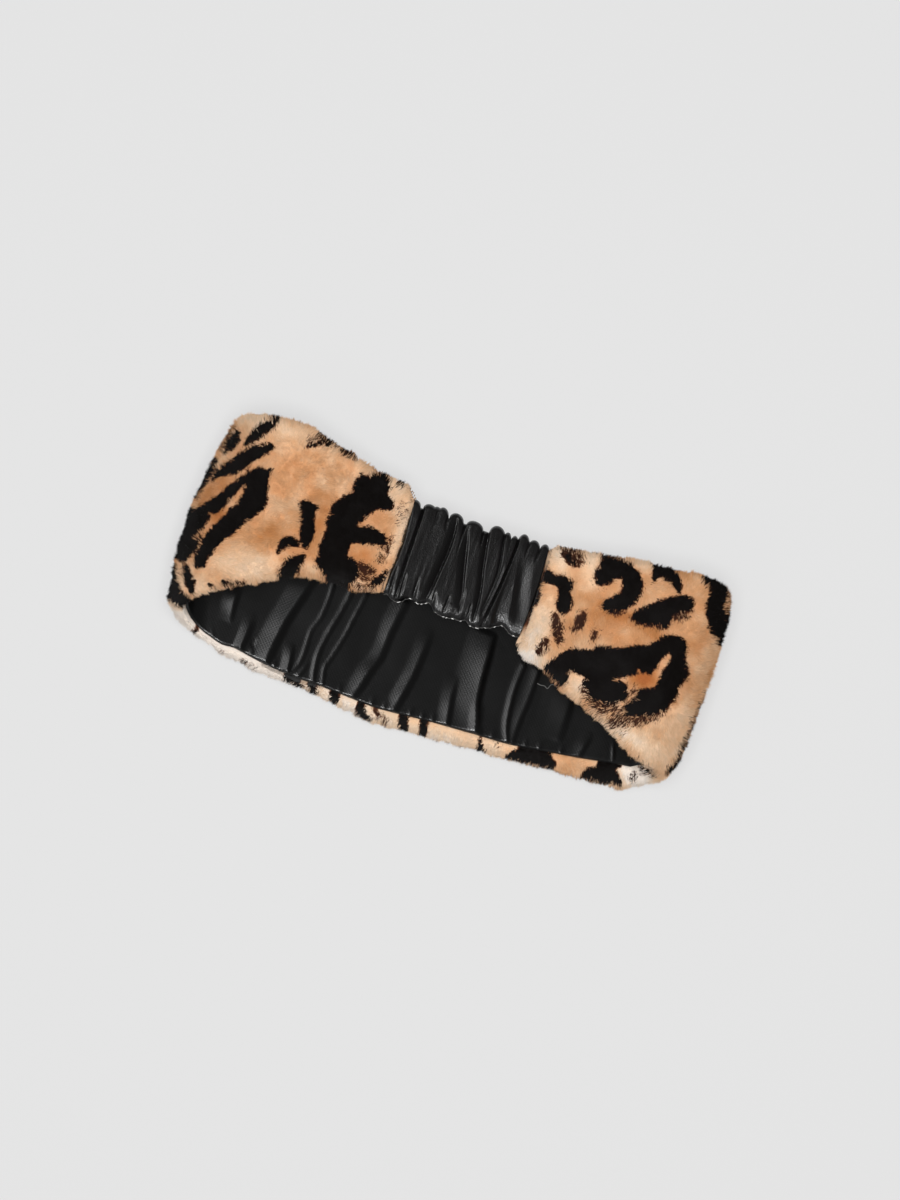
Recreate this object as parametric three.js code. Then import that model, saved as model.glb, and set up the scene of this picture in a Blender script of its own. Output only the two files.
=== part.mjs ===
// A shearling headband lying flat on its front: one fur band folded at both ends,
// its black lining, and the short gathered leather back that joins the two fur ends.
// Millimetres, +X along the band, +Y up its height, +Z up from the surface it lies on.
import * as THREE from 'three';

// ---- Driving sizes -------------------------------------------------------------------
const FUR_DEPTH = 9.5;        // skin and sheared pile together
const FOLD_RADIUS = 11;       // inside radius of the two end folds
const FOLD_X = 116.2;         // distance of each fold's centre from the middle
const BACK_Z = 22.5;          // inner face of the back where it sags onto the front
const SAG_END_X = 52;         // the back rises from here out to the folds
const LINING_DEPTH = 1.2;     // satin with its interlining
const LEATHER_DEPTH = 3.4;    // gathered leather casing between its two faces
const LEATHER_LIFT = 0.6;     // casing's underside above the fur's inner face
const GAP = 0.4;              // clearance between pieces that meet; facets use up to 0.1 of it
const SEAM_DEPTH_SHARE = 0.6; // pile pressed down where it is sewn to the leather
const SEAM_EASE = 9;          // length over which the pile springs back up
const LEFT_SEAM_X = -33;
const RIGHT_SEAM_X = 39.5;

// Plan outline of the back: low and high edges at each x, and how far the fur rolls
// round the edge before it meets the lining.
const BACK = [
  { x: -116.2, low: -32.0, high: 63.2, roll: 6 },
  { x: -108, low: -26.5, high: 64.2, roll: 6 },
  { x: -97, low: -21.2, high: 64.0, roll: 6 },
  { x: -84, low: -13.6, high: 61.2, roll: 6 },
  { x: -70, low: -7.8, high: 58.2, roll: 6 },
  { x: -56, low: -6.4, high: 55.2, roll: 5 },
  { x: -43, low: -5.6, high: 53.9, roll: 4 },
  { x: -37, low: -3.9, high: 51.4, roll: 3 },
  { x: -33, low: -2.8, high: 47.2, roll: 3 },
  { x: 39.5, low: -4.6, high: 47.6, roll: 3 },
  { x: 44, low: -8.8, high: 50.6, roll: 4 },
  { x: 56, low: -11.8, high: 52.6, roll: 5 },
  { x: 70, low: -18.2, high: 55.0, roll: 6 },
  { x: 84, low: -22.8, high: 58.0, roll: 6 },
  { x: 98, low: -28.8, high: 59.6, roll: 6 },
  { x: 108, low: -33.6, high: 60.6, roll: 6 },
  { x: 116.2, low: -37.6, high: 61.6, roll: 6 },
];

// Plan outline of the front, which lies underneath.
const FRONT = [
  { x: -116.2, low: -52.0, high: 49, roll: 3.8 },
  { x: -106, low: -55.4, high: 48, roll: 4 },
  { x: -94, low: -57.8, high: 46.6, roll: 4 },
  { x: -76, low: -60.0, high: 45.4, roll: 3.8 },
  { x: -60, low: -60.4, high: 44.4, roll: 3.2 },
  { x: -46, low: -61.2, high: 44, roll: 4.2 },
  { x: -30, low: -62.6, high: 43.6, roll: 5.2 },
  { x: -15, low: -64.1, high: 43.4, roll: 6.4 },
  { x: 12, low: -62.0, high: 43.4, roll: 7 },
  { x: 34, low: -60.2, high: 43.7, roll: 6.8 },
  { x: 52, low: -58.8, high: 44.2, roll: 6.6 },
  { x: 72, low: -56.8, high: 45.6, roll: 7.6 },
  { x: 92, low: -55.2, high: 47.4, roll: 9.4 },
  { x: 106, low: -53.2, high: 49, roll: 9.6 },
  { x: 116.2, low: -50.6, high: 50, roll: 8 },
];

// Roll of the fur round the band's edge, from the lining seam out to the pile's face:
// inset is a share of the roll, rise a share of the fur's depth.
const EDGE_ROLL = [
  { inset: 1, rise: 0 },
  { inset: 0.55, rise: 0.05 },
  { inset: 0.2, rise: 0.18 },
  { inset: 0, rise: 0.45 },
  { inset: 0.12, rise: 0.72 },
  { inset: 0.5, rise: 0.92 },
  { inset: 1.1, rise: 1 },
];
const ROLL_OUTERMOST = 3;     // row of EDGE_ROLL at the very edge

// Each end fold swells in plan: how fast it falls away from its fullest height.
const SWELL = { left: { y: 5, rate: 0.0025 }, right: { y: -5, rate: 0.0013 } };
const SWELL_START_X = 84;

// The seams with the leather bow outwards in plan.
const LEFT_BOW = { y: 20, x: -30.6, rate: 0.0035 };
const RIGHT_BOW = { y: 14, x: 40, rate: 0.001 };
const BOW_REACH = 14;         // length of fur beside the seam that follows the bow

// Folds of the lining on the front panel: x at its top and bottom, half width, height.
const LINING_FOLDS = [
  { top: -66, bottom: -79, half: 6, rise: 1.3 },
  { top: -49, bottom: -52, half: 3.5, rise: 1.3 },
  { top: -39, bottom: -47, half: 3.5, rise: 1.3 },
  { top: -24, bottom: -31, half: 6, rise: 1.0 },
  { top: -6, bottom: -9, half: 5, rise: 0.8 },
  { top: 20, bottom: 26, half: 9, rise: 1.2 },
  { top: 48, bottom: 50, half: 5, rise: 1.2 },
  { top: 74, bottom: 71, half: 7, rise: 0.8 },
];
const LINING_FOLD_TOP_Y = 10;
const LINING_FOLD_BOTTOM_Y = -54;

// Pleats of the leather: ridge x at the top, middle and bottom, half width, height,
// and the y its rounded top reaches above the casing's edge.
const PLEATS = [
  { top: -32, middle: -29.5, bottom: -28.3, half: 2.6, rise: 2.0, crest: 47.2 },
  { top: -23.3, middle: -22, bottom: -23, half: 4.2, rise: 2.8, crest: 47.8 },
  { top: -17.3, middle: -16.5, bottom: -16, half: 3.4, rise: 2.8, crest: 48.3 },
  { top: -10, middle: -6.5, bottom: -8, half: 3.4, rise: 2.4, crest: 47.8 },
  { top: 0, middle: -0.5, bottom: 1, half: 4, rise: 2.4, crest: 47.1 },
  { top: 5.5, middle: 6, bottom: 7.5, half: 1.8, rise: 1.8, crest: 44.4 },
  { top: 11.5, middle: 12.3, bottom: 13.5, half: 3.6, rise: 2.8, crest: 49 },
  { top: 16.7, middle: 16.6, bottom: 16.5, half: 1.9, rise: 2.0, crest: 47.7 },
  { top: 20.7, middle: 20.3, bottom: 19, half: 1.8, rise: 2.2, crest: 47.2 },
  { top: 25.4, middle: 26, bottom: 24, half: 3.8, rise: 3.0, crest: 49.6 },
  { top: 31, middle: 30, bottom: 30, half: 3.4, rise: 2.9, crest: 48.6 },
  { top: 36.3, middle: 36, bottom: 37.5, half: 3, rise: 2.4, crest: 48.4 },
];
const PLEAT_TOP_Y = 45;
const PLEAT_MIDDLE_Y = 20;
const PLEAT_BOTTOM_Y = -2;
const NOTCH_Y = 44.2;         // casing's top edge between two pleats

// Wavy lower edge of the leather, where its elastic casing is stitched shut.
const LEATHER_HEM = [
  { x: -33, y: -2.7 },
  { x: -26, y: -3.6 },
  { x: -19, y: 0.4 },
  { x: -9, y: 1.0 },
  { x: -1, y: -2.6 },
  { x: 6, y: -2.0 },
  { x: 11, y: -0.8 },
  { x: 16, y: -2.5 },
  { x: 22, y: -0.7 },
  { x: 29, y: 3.0 },
  { x: 34, y: 0.8 },
  { x: 40, y: 0.6 },
];

// ---- Small maths ---------------------------------------------------------------------
function smooth(share) {
  const t = THREE.MathUtils.clamp(share, 0, 1);
  return t * t * (3 - 2 * t);
}

// Value of one column at x, on a smooth curve through the table's rows.
function lookUp(table, x, column) {
  let row = 0;
  while (row < table.length - 2 && x > table[row + 1].x) {
    row += 1;
  }
  const here = table[row];
  const next = table[row + 1];
  const before = table[Math.max(row - 1, 0)];
  const after = table[Math.min(row + 2, table.length - 1)];
  const span = next.x - here.x;
  const t = THREE.MathUtils.clamp((x - here.x) / span, 0, 1);
  const slopeHere = (next[column] - before[column]) / (next.x - before.x);
  const slopeNext = (after[column] - here[column]) / (after.x - here.x);
  const rise = next[column] - here[column];
  const curve = t * (1 - t) * ((slopeHere * span - rise) * (1 - t) - (slopeNext * span - rise) * t);
  return here[column] + rise * t + curve;
}

const backLeft = BACK.filter((row) => row.x < 0);
const backRight = BACK.filter((row) => row.x > 0);

// ---- Route of the band round its loop --------------------------------------------------
function backHeight(x) {
  const crest = FUR_DEPTH + 2 * FOLD_RADIUS;
  const climb = (Math.abs(x) - SAG_END_X) / (FOLD_X - SAG_END_X);
  return BACK_Z + (crest - BACK_Z) * smooth(climb);
}

function backStation(table, x) {
  const row = { x, z: backHeight(x) };
  for (const column of ['low', 'high', 'roll']) {
    row[column] = lookUp(table, x, column);
  }
  return row;
}

// One fold: a half circle. Its low edge keeps close to the front's for the first half of
// the turn, and its high edge to the back's, so that both corners stay full.
function foldStations(side, from, to, steps) {
  const rows = [];
  for (let step = 1; step < steps; step += 1) {
    const share = step / steps;
    const turn = Math.PI * share;
    const rising = from.z < to.z;
    const centreZ = (from.z + to.z) / 2;
    const row = {
      x: side * (FOLD_X + FOLD_RADIUS * Math.sin(turn)),
      z: centreZ + (rising ? -1 : 1) * FOLD_RADIUS * Math.cos(turn),
    };
    const fromFront = rising ? share : 1 - share;
    const [front, back] = rising ? [from, to] : [to, from];
    row.low = THREE.MathUtils.lerp(front.low, back.low, fromFront ** 2);
    row.high = THREE.MathUtils.lerp(front.high, back.high, 1 - (1 - fromFront) ** 2);
    row.roll = THREE.MathUtils.lerp(front.roll, back.roll, fromFront);
    rows.push(row);
  }
  return rows;
}

// Stations on the band's inner face, from the left leather seam round to the right one.
function loopStations(step, foldSteps) {
  const stations = [];
  const leftSteps = Math.round((FOLD_X + LEFT_SEAM_X) / step);
  for (let i = 0; i <= leftSteps; i += 1) {
    const x = THREE.MathUtils.lerp(LEFT_SEAM_X, -FOLD_X, i / leftSteps);
    stations.push(backStation(backLeft, x));
  }
  const front = [];
  const frontSteps = Math.round(2 * FOLD_X / step);
  for (let i = 0; i <= frontSteps; i += 1) {
    const x = THREE.MathUtils.lerp(-FOLD_X, FOLD_X, i / frontSteps);
    const row = { x, z: FUR_DEPTH };
    for (const column of ['low', 'high', 'roll']) {
      row[column] = lookUp(FRONT, x, column);
    }
    front.push(row);
  }
  const right = [];
  const rightSteps = Math.round((FOLD_X - RIGHT_SEAM_X) / step);
  for (let i = 0; i <= rightSteps; i += 1) {
    const x = THREE.MathUtils.lerp(FOLD_X, RIGHT_SEAM_X, i / rightSteps);
    right.push(backStation(backRight, x));
  }
  stations.push(...foldStations(-1, stations[stations.length - 1], front[0], foldSteps));
  stations.push(...front);
  stations.push(...foldStations(1, front[front.length - 1], right[0], foldSteps));
  stations.push(...right);
  return addNormals(stations);
}

// Outward direction at each station, square to the route.
function addNormals(stations) {
  const last = stations.length - 1;
  return stations.map((row, i) => {
    const before = stations[Math.max(i - 1, 0)];
    const after = stations[Math.min(i + 1, last)];
    const length = Math.hypot(after.x - before.x, after.z - before.z);
    const normal = { x: -(after.z - before.z) / length, z: (after.x - before.x) / length };
    const seamX = row.x < 0 ? LEFT_SEAM_X : RIGHT_SEAM_X;
    const onBack = row.z > FUR_DEPTH + FOLD_RADIUS;
    const fromSeam = onBack ? Math.abs(row.x - seamX) : Infinity;
    return { ...row, nx: -normal.x, nz: -normal.z, fromSeam };
  });
}

// Puts a point that lies out from the inner face in place, swelling the folds, bowing the
// seams, and flattening the pile where it rests.
function place(station, y, out) {
  const side = station.x < 0 ? SWELL.left : SWELL.right;
  const swell = smooth((Math.abs(station.x) - SWELL_START_X) / (FOLD_X - SWELL_START_X));
  let x = station.x + station.nx * out;
  x -= Math.sign(station.x) * swell * side.rate * (y - side.y) ** 2;
  if (station.fromSeam < BOW_REACH) {
    const seamX = station.x < 0 ? LEFT_SEAM_X : RIGHT_SEAM_X;
    x += (seamBow(station.x, y) - seamX) * (1 - smooth(station.fromSeam / BOW_REACH));
  }
  const z = station.z + station.nz * out;
  return new THREE.Vector3(x, y, Math.max(z, 0));
}

function seamBow(x, y) {
  const bow = x < 0 ? LEFT_BOW : RIGHT_BOW;
  return bow.x - bow.rate * (y - bow.y) ** 2;
}

// ---- Skinning ------------------------------------------------------------------------
// Closes a row of rings into one body. Each ring runs up the inner face, then back down
// the outer one, so its end caps zip the two halves together.
function loft(rings) {
  const count = rings[0].length;
  const positions = rings.flat().flatMap((point) => [point.x, point.y, point.z]);
  const faces = [];
  for (let i = 0; i < rings.length - 1; i += 1) {
    for (let j = 0; j < count; j += 1) {
      const a = i * count + j;
      const b = i * count + (j + 1) % count;
      faces.push(a, b + count, b, a, a + count, b + count);
    }
  }
  const end = (rings.length - 1) * count;
  for (let j = 0; j < count / 2 - 1; j += 1) {
    const k = count - 1 - j;
    faces.push(j, k - 1, k, j, j + 1, k - 1);
    faces.push(end + j, end + k - 1, end + j + 1, end + j, end + k, end + k - 1);
  }
  const geometry = new THREE.BufferGeometry();
  geometry.setAttribute('position', new THREE.Float32BufferAttribute(positions, 3));
  geometry.setIndex(faces);
  return geometry;
}

// ---- Shearling band --------------------------------------------------------------------
const BAND_STEP = 6.2;
const BAND_FOLD_STEPS = 10;
const INSIDE_ACROSS = 5;      // points on the inner face between the two rolled edges
const OUTSIDE_ACROSS = 7;     // points on the pile's face between them

function furRing(station) {
  const easing = Math.sqrt(THREE.MathUtils.clamp(station.fromSeam / SEAM_EASE, 0, 1));
  const depth = FUR_DEPTH * (SEAM_DEPTH_SHARE + (1 - SEAM_DEPTH_SHARE) * easing);
  const fromLow = (row) => place(station, station.low + row.inset * station.roll, row.rise * depth);
  const fromHigh = (row) => place(station, station.high - row.inset * station.roll, row.rise * depth);
  const insideRoll = EDGE_ROLL.slice(0, ROLL_OUTERMOST + 1);
  const outsideRoll = EDGE_ROLL.slice(ROLL_OUTERMOST + 1);
  const inside = facePoints(station, insideRoll[0].inset, INSIDE_ACROSS, 0);
  const outside = facePoints(station, outsideRoll[outsideRoll.length - 1].inset, OUTSIDE_ACROSS, depth);
  return [
    ...insideRoll.map(fromLow).reverse(),
    ...inside,
    ...insideRoll.map(fromHigh),
    ...outsideRoll.map(fromHigh),
    ...outside.reverse(),
    ...outsideRoll.map(fromLow).reverse(),
  ];
}

// Points up one face of the band between its two rolled edges.
function facePoints(station, inset, count, out) {
  const low = station.low + inset * station.roll;
  const high = station.high - inset * station.roll;
  const points = [];
  for (let k = 1; k <= count; k += 1) {
    points.push(place(station, THREE.MathUtils.lerp(low, high, k / (count + 1)), out));
  }
  return points;
}

function shearlingBand() {
  const material = new THREE.MeshStandardMaterial({ color: 0xc8996b, roughness: 0.95, metalness: 0 });
  const mesh = new THREE.Mesh(loft(loopStations(BAND_STEP, BAND_FOLD_STEPS).map(furRing)), material);
  mesh.name = 'shearling_band';
  return mesh;
}

// ---- Lining --------------------------------------------------------------------------
const LINING_STEP = 3.9;
const LINING_FOLD_STEPS = BAND_FOLD_STEPS;
const LINING_ACROSS = 7;      // points across each face

function liningRise(station, y) {
  if (station.z > FUR_DEPTH + 0.01) {
    return 0;
  }
  let rise = 0;
  for (const fold of LINING_FOLDS) {
    const share = (LINING_FOLD_TOP_Y - y) / (LINING_FOLD_TOP_Y - LINING_FOLD_BOTTOM_Y);
    const ridge = THREE.MathUtils.lerp(fold.top, fold.bottom, THREE.MathUtils.clamp(share, 0, 1));
    const away = Math.abs(station.x - ridge) / fold.half;
    rise = Math.max(rise, fold.rise * (1 - smooth(away)));
  }
  return rise;
}

function liningRing(station) {
  const low = station.low + station.roll + GAP;
  const high = station.high - station.roll - GAP;
  const rowAt = (k) => THREE.MathUtils.lerp(low, high, k / (LINING_ACROSS - 1));
  const ring = [];
  for (let k = 0; k < LINING_ACROSS; k += 1) {
    const edge = k === 0 || k === LINING_ACROSS - 1;
    const rise = edge ? 0 : liningRise(station, rowAt(k));
    ring.push(place(station, rowAt(k), -GAP - LINING_DEPTH - rise));
  }
  for (let k = LINING_ACROSS - 1; k >= 0; k -= 1) {
    const edge = k === 0 || k === LINING_ACROSS - 1;
    const rise = edge ? 0 : liningRise(station, rowAt(k));
    ring.push(place(station, rowAt(k), -GAP - rise));
  }
  return ring;
}

function lining() {
  const material = new THREE.MeshStandardMaterial({ color: 0x1e1e20, roughness: 0.45, metalness: 0 });
  const rings = loopStations(LINING_STEP, LINING_FOLD_STEPS).map(liningRing);
  const mesh = new THREE.Mesh(loft(rings), material);
  mesh.name = 'lining';
  return mesh;
}

// ---- Gathered leather back ---------------------------------------------------------------
const LEATHER_STEPS = 56;
const LEATHER_ACROSS = 8;     // points up each face
const LEATHER_EDGE = 2;       // radius of the folded top and bottom edges

function ridgeX(pleat, y) {
  if (y > PLEAT_MIDDLE_Y) {
    const share = (y - PLEAT_MIDDLE_Y) / (PLEAT_TOP_Y - PLEAT_MIDDLE_Y);
    return THREE.MathUtils.lerp(pleat.middle, pleat.top, Math.min(share, 1));
  }
  const share = (PLEAT_MIDDLE_Y - y) / (PLEAT_MIDDLE_Y - PLEAT_BOTTOM_Y);
  return THREE.MathUtils.lerp(pleat.middle, pleat.bottom, Math.min(share, 1));
}

// Round cross-section of a pleat, nothing beyond its half width.
function roundBump(away) {
  return Math.sqrt(Math.max(0, 1 - away * away));
}

function pleatRise(x, y) {
  let rise = 0;
  for (const pleat of PLEATS) {
    rise = Math.max(rise, pleat.rise * roundBump((x - ridgeX(pleat, y)) / pleat.half));
  }
  return rise;
}

function leatherTop(x) {
  let top = NOTCH_Y;
  for (const pleat of PLEATS) {
    const bump = (pleat.crest - NOTCH_Y) * roundBump((x - pleat.top) / pleat.half);
    top = Math.max(top, NOTCH_Y + bump);
  }
  return top;
}

function leatherRing(share) {
  const seamShift = (y) => {
    const left = seamBow(-1, y) + GAP;
    const right = seamBow(1, y) - GAP;
    return THREE.MathUtils.lerp(left, right, share);
  };
  const middleX = seamShift(PLEAT_MIDDLE_Y);
  const low = lookUp(LEATHER_HEM, middleX, 'y');
  const high = leatherTop(middleX);
  const bottomZ = BACK_Z + LEATHER_LIFT;
  const topAt = (y) => {
    const fromEdge = Math.min(y - low, high - y) / LEATHER_EDGE;
    const fold = roundBump(1 - THREE.MathUtils.clamp(fromEdge, 0, 1));
    return bottomZ + LEATHER_DEPTH * (0.45 + 0.55 * fold) + pleatRise(seamShift(y), y) * fold;
  };
  const ring = [];
  for (let k = 0; k < LEATHER_ACROSS; k += 1) {
    const y = rowHeight(low, high, k);
    ring.push(new THREE.Vector3(seamShift(y), y, bottomZ));
  }
  for (let k = LEATHER_ACROSS - 1; k >= 0; k -= 1) {
    const y = rowHeight(low, high, k);
    ring.push(new THREE.Vector3(seamShift(y), y, topAt(y)));
  }
  return ring;
}

// Rows close up towards the two edges, where the leather folds over.
function rowHeight(low, high, k) {
  const share = k / (LEATHER_ACROSS - 1);
  return THREE.MathUtils.lerp(low, high, (1 - Math.cos(Math.PI * share)) / 2);
}

function leatherBack() {
  const rings = [];
  for (let i = LEATHER_STEPS; i >= 0; i -= 1) {
    rings.push(leatherRing(i / LEATHER_STEPS));
  }
  const material = new THREE.MeshStandardMaterial({ color: 0x232425, roughness: 0.5, metalness: 0 });
  const mesh = new THREE.Mesh(loft(rings), material);
  mesh.name = 'leather_back';
  return mesh;
}

const headband = new THREE.Group();
headband.name = 'shearling_headband';
headband.add(shearlingBand(), lining(), leatherBack());

export default headband;
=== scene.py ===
import math

import bpy
import numpy as np
from mathutils.kdtree import KDTree
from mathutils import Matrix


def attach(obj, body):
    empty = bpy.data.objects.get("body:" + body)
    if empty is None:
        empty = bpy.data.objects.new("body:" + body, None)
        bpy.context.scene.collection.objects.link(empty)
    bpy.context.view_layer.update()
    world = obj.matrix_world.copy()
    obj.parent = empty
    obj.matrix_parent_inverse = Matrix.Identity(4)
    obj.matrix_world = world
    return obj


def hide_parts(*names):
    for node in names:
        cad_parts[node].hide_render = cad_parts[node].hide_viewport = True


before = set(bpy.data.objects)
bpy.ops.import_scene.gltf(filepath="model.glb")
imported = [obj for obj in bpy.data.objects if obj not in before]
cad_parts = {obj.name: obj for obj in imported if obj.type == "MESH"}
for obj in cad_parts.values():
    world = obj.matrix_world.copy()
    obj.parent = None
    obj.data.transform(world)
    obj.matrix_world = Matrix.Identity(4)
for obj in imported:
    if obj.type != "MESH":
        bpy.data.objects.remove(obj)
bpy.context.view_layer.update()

# ---- Sheepskin ---------------------------------------------------------------------------
# One long strip of sheared sheepskin, folded in a loop with its front underneath. It tapers
# to the two seams with the leather, and its wool rolls round both long edges to the lining.
# This piece is the skin with the dense lower wool, which the tips of the pile hide.
MM = 0.001
SMALLEST = 1e-9               # below any real length
# The band's form, in millimetres, as the CAD model has it.
FUR_DEPTH = 9.5
FOLD_RADIUS = 11
FOLD_X = 116.2
FOLD_REACH = 0.5              # how far the tips stand past each fold
LOW_EASE = {-1: 1.25, 1: 1.9}     # how soon the low edge turns at the left and right fold
HIGH_EASE = {-1: 1.4, 1: 2.3}     # and how soon the high edge does
BACK_Z = 22.5
SAG_END_X = 52
LEFT_SEAM_X = -33
RIGHT_SEAM_X = 39.5
SWELL_START_X = 84
BOW_REACH = 14
FAR = 1000                    # farther than anything on the band
# How each end fold swells: its fullest y, and how fast it falls away from there.
SWELL = {"left": (3, 0.0024), "right": (0, 0.001)}
# How each seam with the leather bows: its fullest y, how fast it falls away, and x there.
BOW = {"left": (20, 0.0035, -30.6), "right": (14, 0.001, 40)}

# x, low edge, high edge, how far the pile rolls in to the lining
BACK_LEFT = [
    (-116.2, -32.0, 63.2, 6), (-108, -26.5, 64.2, 6), (-97, -21.2, 64.0, 6), (-84, -13.6, 61.2, 6),
    (-70, -7.8, 58.2, 6), (-56, -6.4, 55.2, 5), (-43, -5.6, 53.9, 4), (-37, -3.9, 53.0, 3),
    (-33, -2.8, 47.2, 3),
]
BACK_RIGHT = [
    (39.5, -4.6, 47.6, 3), (44, -8.8, 50.6, 4), (56, -11.8, 52.6, 5), (70, -18.2, 55.0, 6),
    (84, -22.8, 57.6, 6), (98, -28.8, 58.6, 6), (108, -33.6, 59.8, 6), (116.2, -37.6, 61.2, 6),
]
FRONT = [
    (-116.2, -55.6, 49, 3.8), (-106, -58.8, 48, 4.7), (-94, -58.9, 46.6, 5),
    (-76, -61.4, 45.4, 5.2), (-60, -60.9, 44.4, 3.7), (-46, -62.0, 44, 5), (-30, -63.7, 43.6, 6.3),
    (-15, -65.1, 43.4, 7.4), (12, -63.0, 43.4, 8), (34, -61.0, 43.7, 7.6), (52, -59.9, 44.2, 7.7),
    (72, -57.8, 45.6, 8.6), (92, -56.2, 47.4, 10.3), (106, -55, 49, 11.6), (116.2, -54.6, 50, 12.8),
]
# share of the roll in from the edge, share of the pile's depth
EDGE_ROLL = [
    (1, 0), (0.85, -0.04), (0.5, -0.03), (0.22, 0.08), (0.04, 0.26), (0, 0.46), (0.12, 0.72),
    (0.5, 0.92), (1.1, 1),
]


def smooth(share):
    t = np.clip(share, 0, 1)
    return t * t * (3 - 2 * t)


def look_up(table, x):
    """The table's other columns at x, on a smooth curve through its rows."""
    rows = np.array(table, float)
    x = np.clip(np.asarray(x, float), rows[0, 0], rows[-1, 0])
    here = np.clip(np.searchsorted(rows[:, 0], x, side="right") - 1, 0, len(rows) - 2)
    before = np.maximum(here - 1, 0)
    after = np.minimum(here + 2, len(rows) - 1)
    start, end = rows[here], rows[here + 1]
    span = (end[:, 0] - start[:, 0])[:, None]
    t = (x - start[:, 0])[:, None] / span
    slope_start = (end - rows[before]) / (end[:, :1] - rows[before][:, :1])
    slope_end = (rows[after] - start) / (rows[after][:, :1] - start[:, :1])
    rise = end - start
    bend = (slope_start * span - rise) * (1 - t) - (slope_end * span - rise) * t
    return (start + rise * t + bend * t * (1 - t))[:, 1:]


def back_height(x):
    crest = FUR_DEPTH + 2 * FOLD_RADIUS
    return BACK_Z + (crest - BACK_Z) * smooth((np.abs(x) - SAG_END_X) / (FOLD_X - SAG_END_X))


def by_side(x, table):
    """The table's left numbers where x is on the left, and its right ones elsewhere."""
    return (np.where(x < 0, left, right) for left, right in zip(table["left"], table["right"]))


def seam_bow(x, y):
    """x of the bowed leather seam beside x, at height y."""
    fullest, rate, fullest_x = by_side(x, BOW)
    return fullest_x - rate * (y - fullest) ** 2


def loop_route(step, front_step=None):
    """Stations on the inner face, from the left seam round the front to the right seam:
    columns x, z, outward x, outward z, low, high, roll, distance from the seam, along."""
    def straight(start, end, spacing):
        return np.linspace(start, end, round(abs(end - start) / spacing) + 1)

    def fold(side, first, last):
        turn = np.linspace(0, math.pi, round(math.pi * FOLD_RADIUS / step) + 1)[1:-1]
        x = side * (FOLD_X + (FOLD_RADIUS + FOLD_REACH) * np.sin(turn))
        rising = 1 if last[1] > first[1] else -1
        z = (first[1] + last[1]) / 2 - rising * FOLD_RADIUS * np.cos(turn)
        front_end, back_end = (first, last) if rising > 0 else (last, first)
        up = turn / math.pi if rising > 0 else 1 - turn / math.pi
        low_up = up ** LOW_EASE[side] if side < 0 else 1 - (1 - up) ** LOW_EASE[side]
        high_up = 1 - (1 - up) ** HIGH_EASE[side]
        low, high, roll = (front_end[k] + (back_end[k] - front_end[k]) * share for k, share in
                           ((2, low_up), (3, high_up), (4, up)))
        return np.column_stack([x, z, low, high, roll])

    left_x = straight(LEFT_SEAM_X, -FOLD_X, step)
    front_x = straight(-FOLD_X, FOLD_X, front_step or step)
    right_x = straight(FOLD_X, RIGHT_SEAM_X, step)
    left = np.column_stack([left_x, back_height(left_x), look_up(BACK_LEFT, left_x)])
    front = np.column_stack([front_x, np.full(len(front_x), FUR_DEPTH), look_up(FRONT, front_x)])
    right = np.column_stack([right_x, back_height(right_x), look_up(BACK_RIGHT, right_x)])
    rows = np.vstack([
        left, fold(-1, left[-1], front[0]), front, fold(1, front[-1], right[0]), right,
    ])
    way = np.gradient(rows[:, :2], axis=0)
    length = np.hypot(way[:, 0], way[:, 1])
    outward = np.column_stack([way[:, 1], -way[:, 0]]) / length[:, None]
    on_back = rows[:, 1] > FUR_DEPTH + FOLD_RADIUS
    seam_x = np.where(rows[:, 0] < 0, LEFT_SEAM_X, RIGHT_SEAM_X)
    from_seam = np.where(on_back, np.abs(rows[:, 0] - seam_x), FAR)
    steps = np.hypot(*np.diff(rows[:, :2], axis=0).T)
    along = np.concatenate([[0], np.cumsum(steps)])
    return np.column_stack([rows[:, :2], outward, rows[:, 2:], from_seam, along])


def place(route, y, out):
    """Points at height y, out from the inner face, for a column of stations: the folds
    swell, the seams bow, and nothing goes below the surface that the band lies on."""
    x, z, out_x, out_z, from_seam = (route[:, k, None] for k in (0, 1, 2, 3, 7))
    sign = np.sign(x)
    fullest, rate = by_side(x, SWELL)
    swell = smooth((np.abs(x) - SWELL_START_X) / (FOLD_X - SWELL_START_X))
    seam_x = np.where(x < 0, LEFT_SEAM_X, RIGHT_SEAM_X)
    near_seam = 1 - smooth(from_seam / BOW_REACH)
    px = x + out_x * out - sign * swell * rate * (y - fullest) ** 2
    px = px + (seam_bow(x, y) - seam_x) * near_seam
    pz = np.maximum(z + out_z * out, 0)
    return np.stack([px, np.broadcast_to(y, px.shape), pz], axis=-1)


class SmoothNoise:
    """Seeded value noise in space, from -1 to 1, on a lattice that repeats."""
    CELLS = 64
    START = 1000              # cells added, so that no cell's number is below zero

    def __init__(self, seed):
        values = np.random.default_rng(seed).uniform(-1, 1, (self.CELLS,) * 3)
        self.values = values.astype(np.float32)

    def __call__(self, points, size):
        """size is the lump size in mm, one number or one for each axis."""
        at = np.asarray(points, np.float32) / np.asarray(size, np.float32) + self.START
        low = np.floor(at).astype(np.int32)
        part = smooth(at - low)
        low %= self.CELLS
        high = (low + 1) % self.CELLS
        total = 0
        for corner in range(8):
            picks, weight = [], 1
            for axis in range(3):
                upper = corner >> axis & 1
                picks.append((high if upper else low)[..., axis])
                weight = weight * (part[..., axis] if upper else 1 - part[..., axis])
            total = total + self.values[tuple(picks)] * weight
        return total


LUMPS_SEED, TUFTS_SEED = 11, 23
ELSEWHERE = 50                # mm to a part of a noise that looks unlike the part here
lumps = SmoothNoise(LUMPS_SEED)
tufts = SmoothNoise(TUFTS_SEED)

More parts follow.
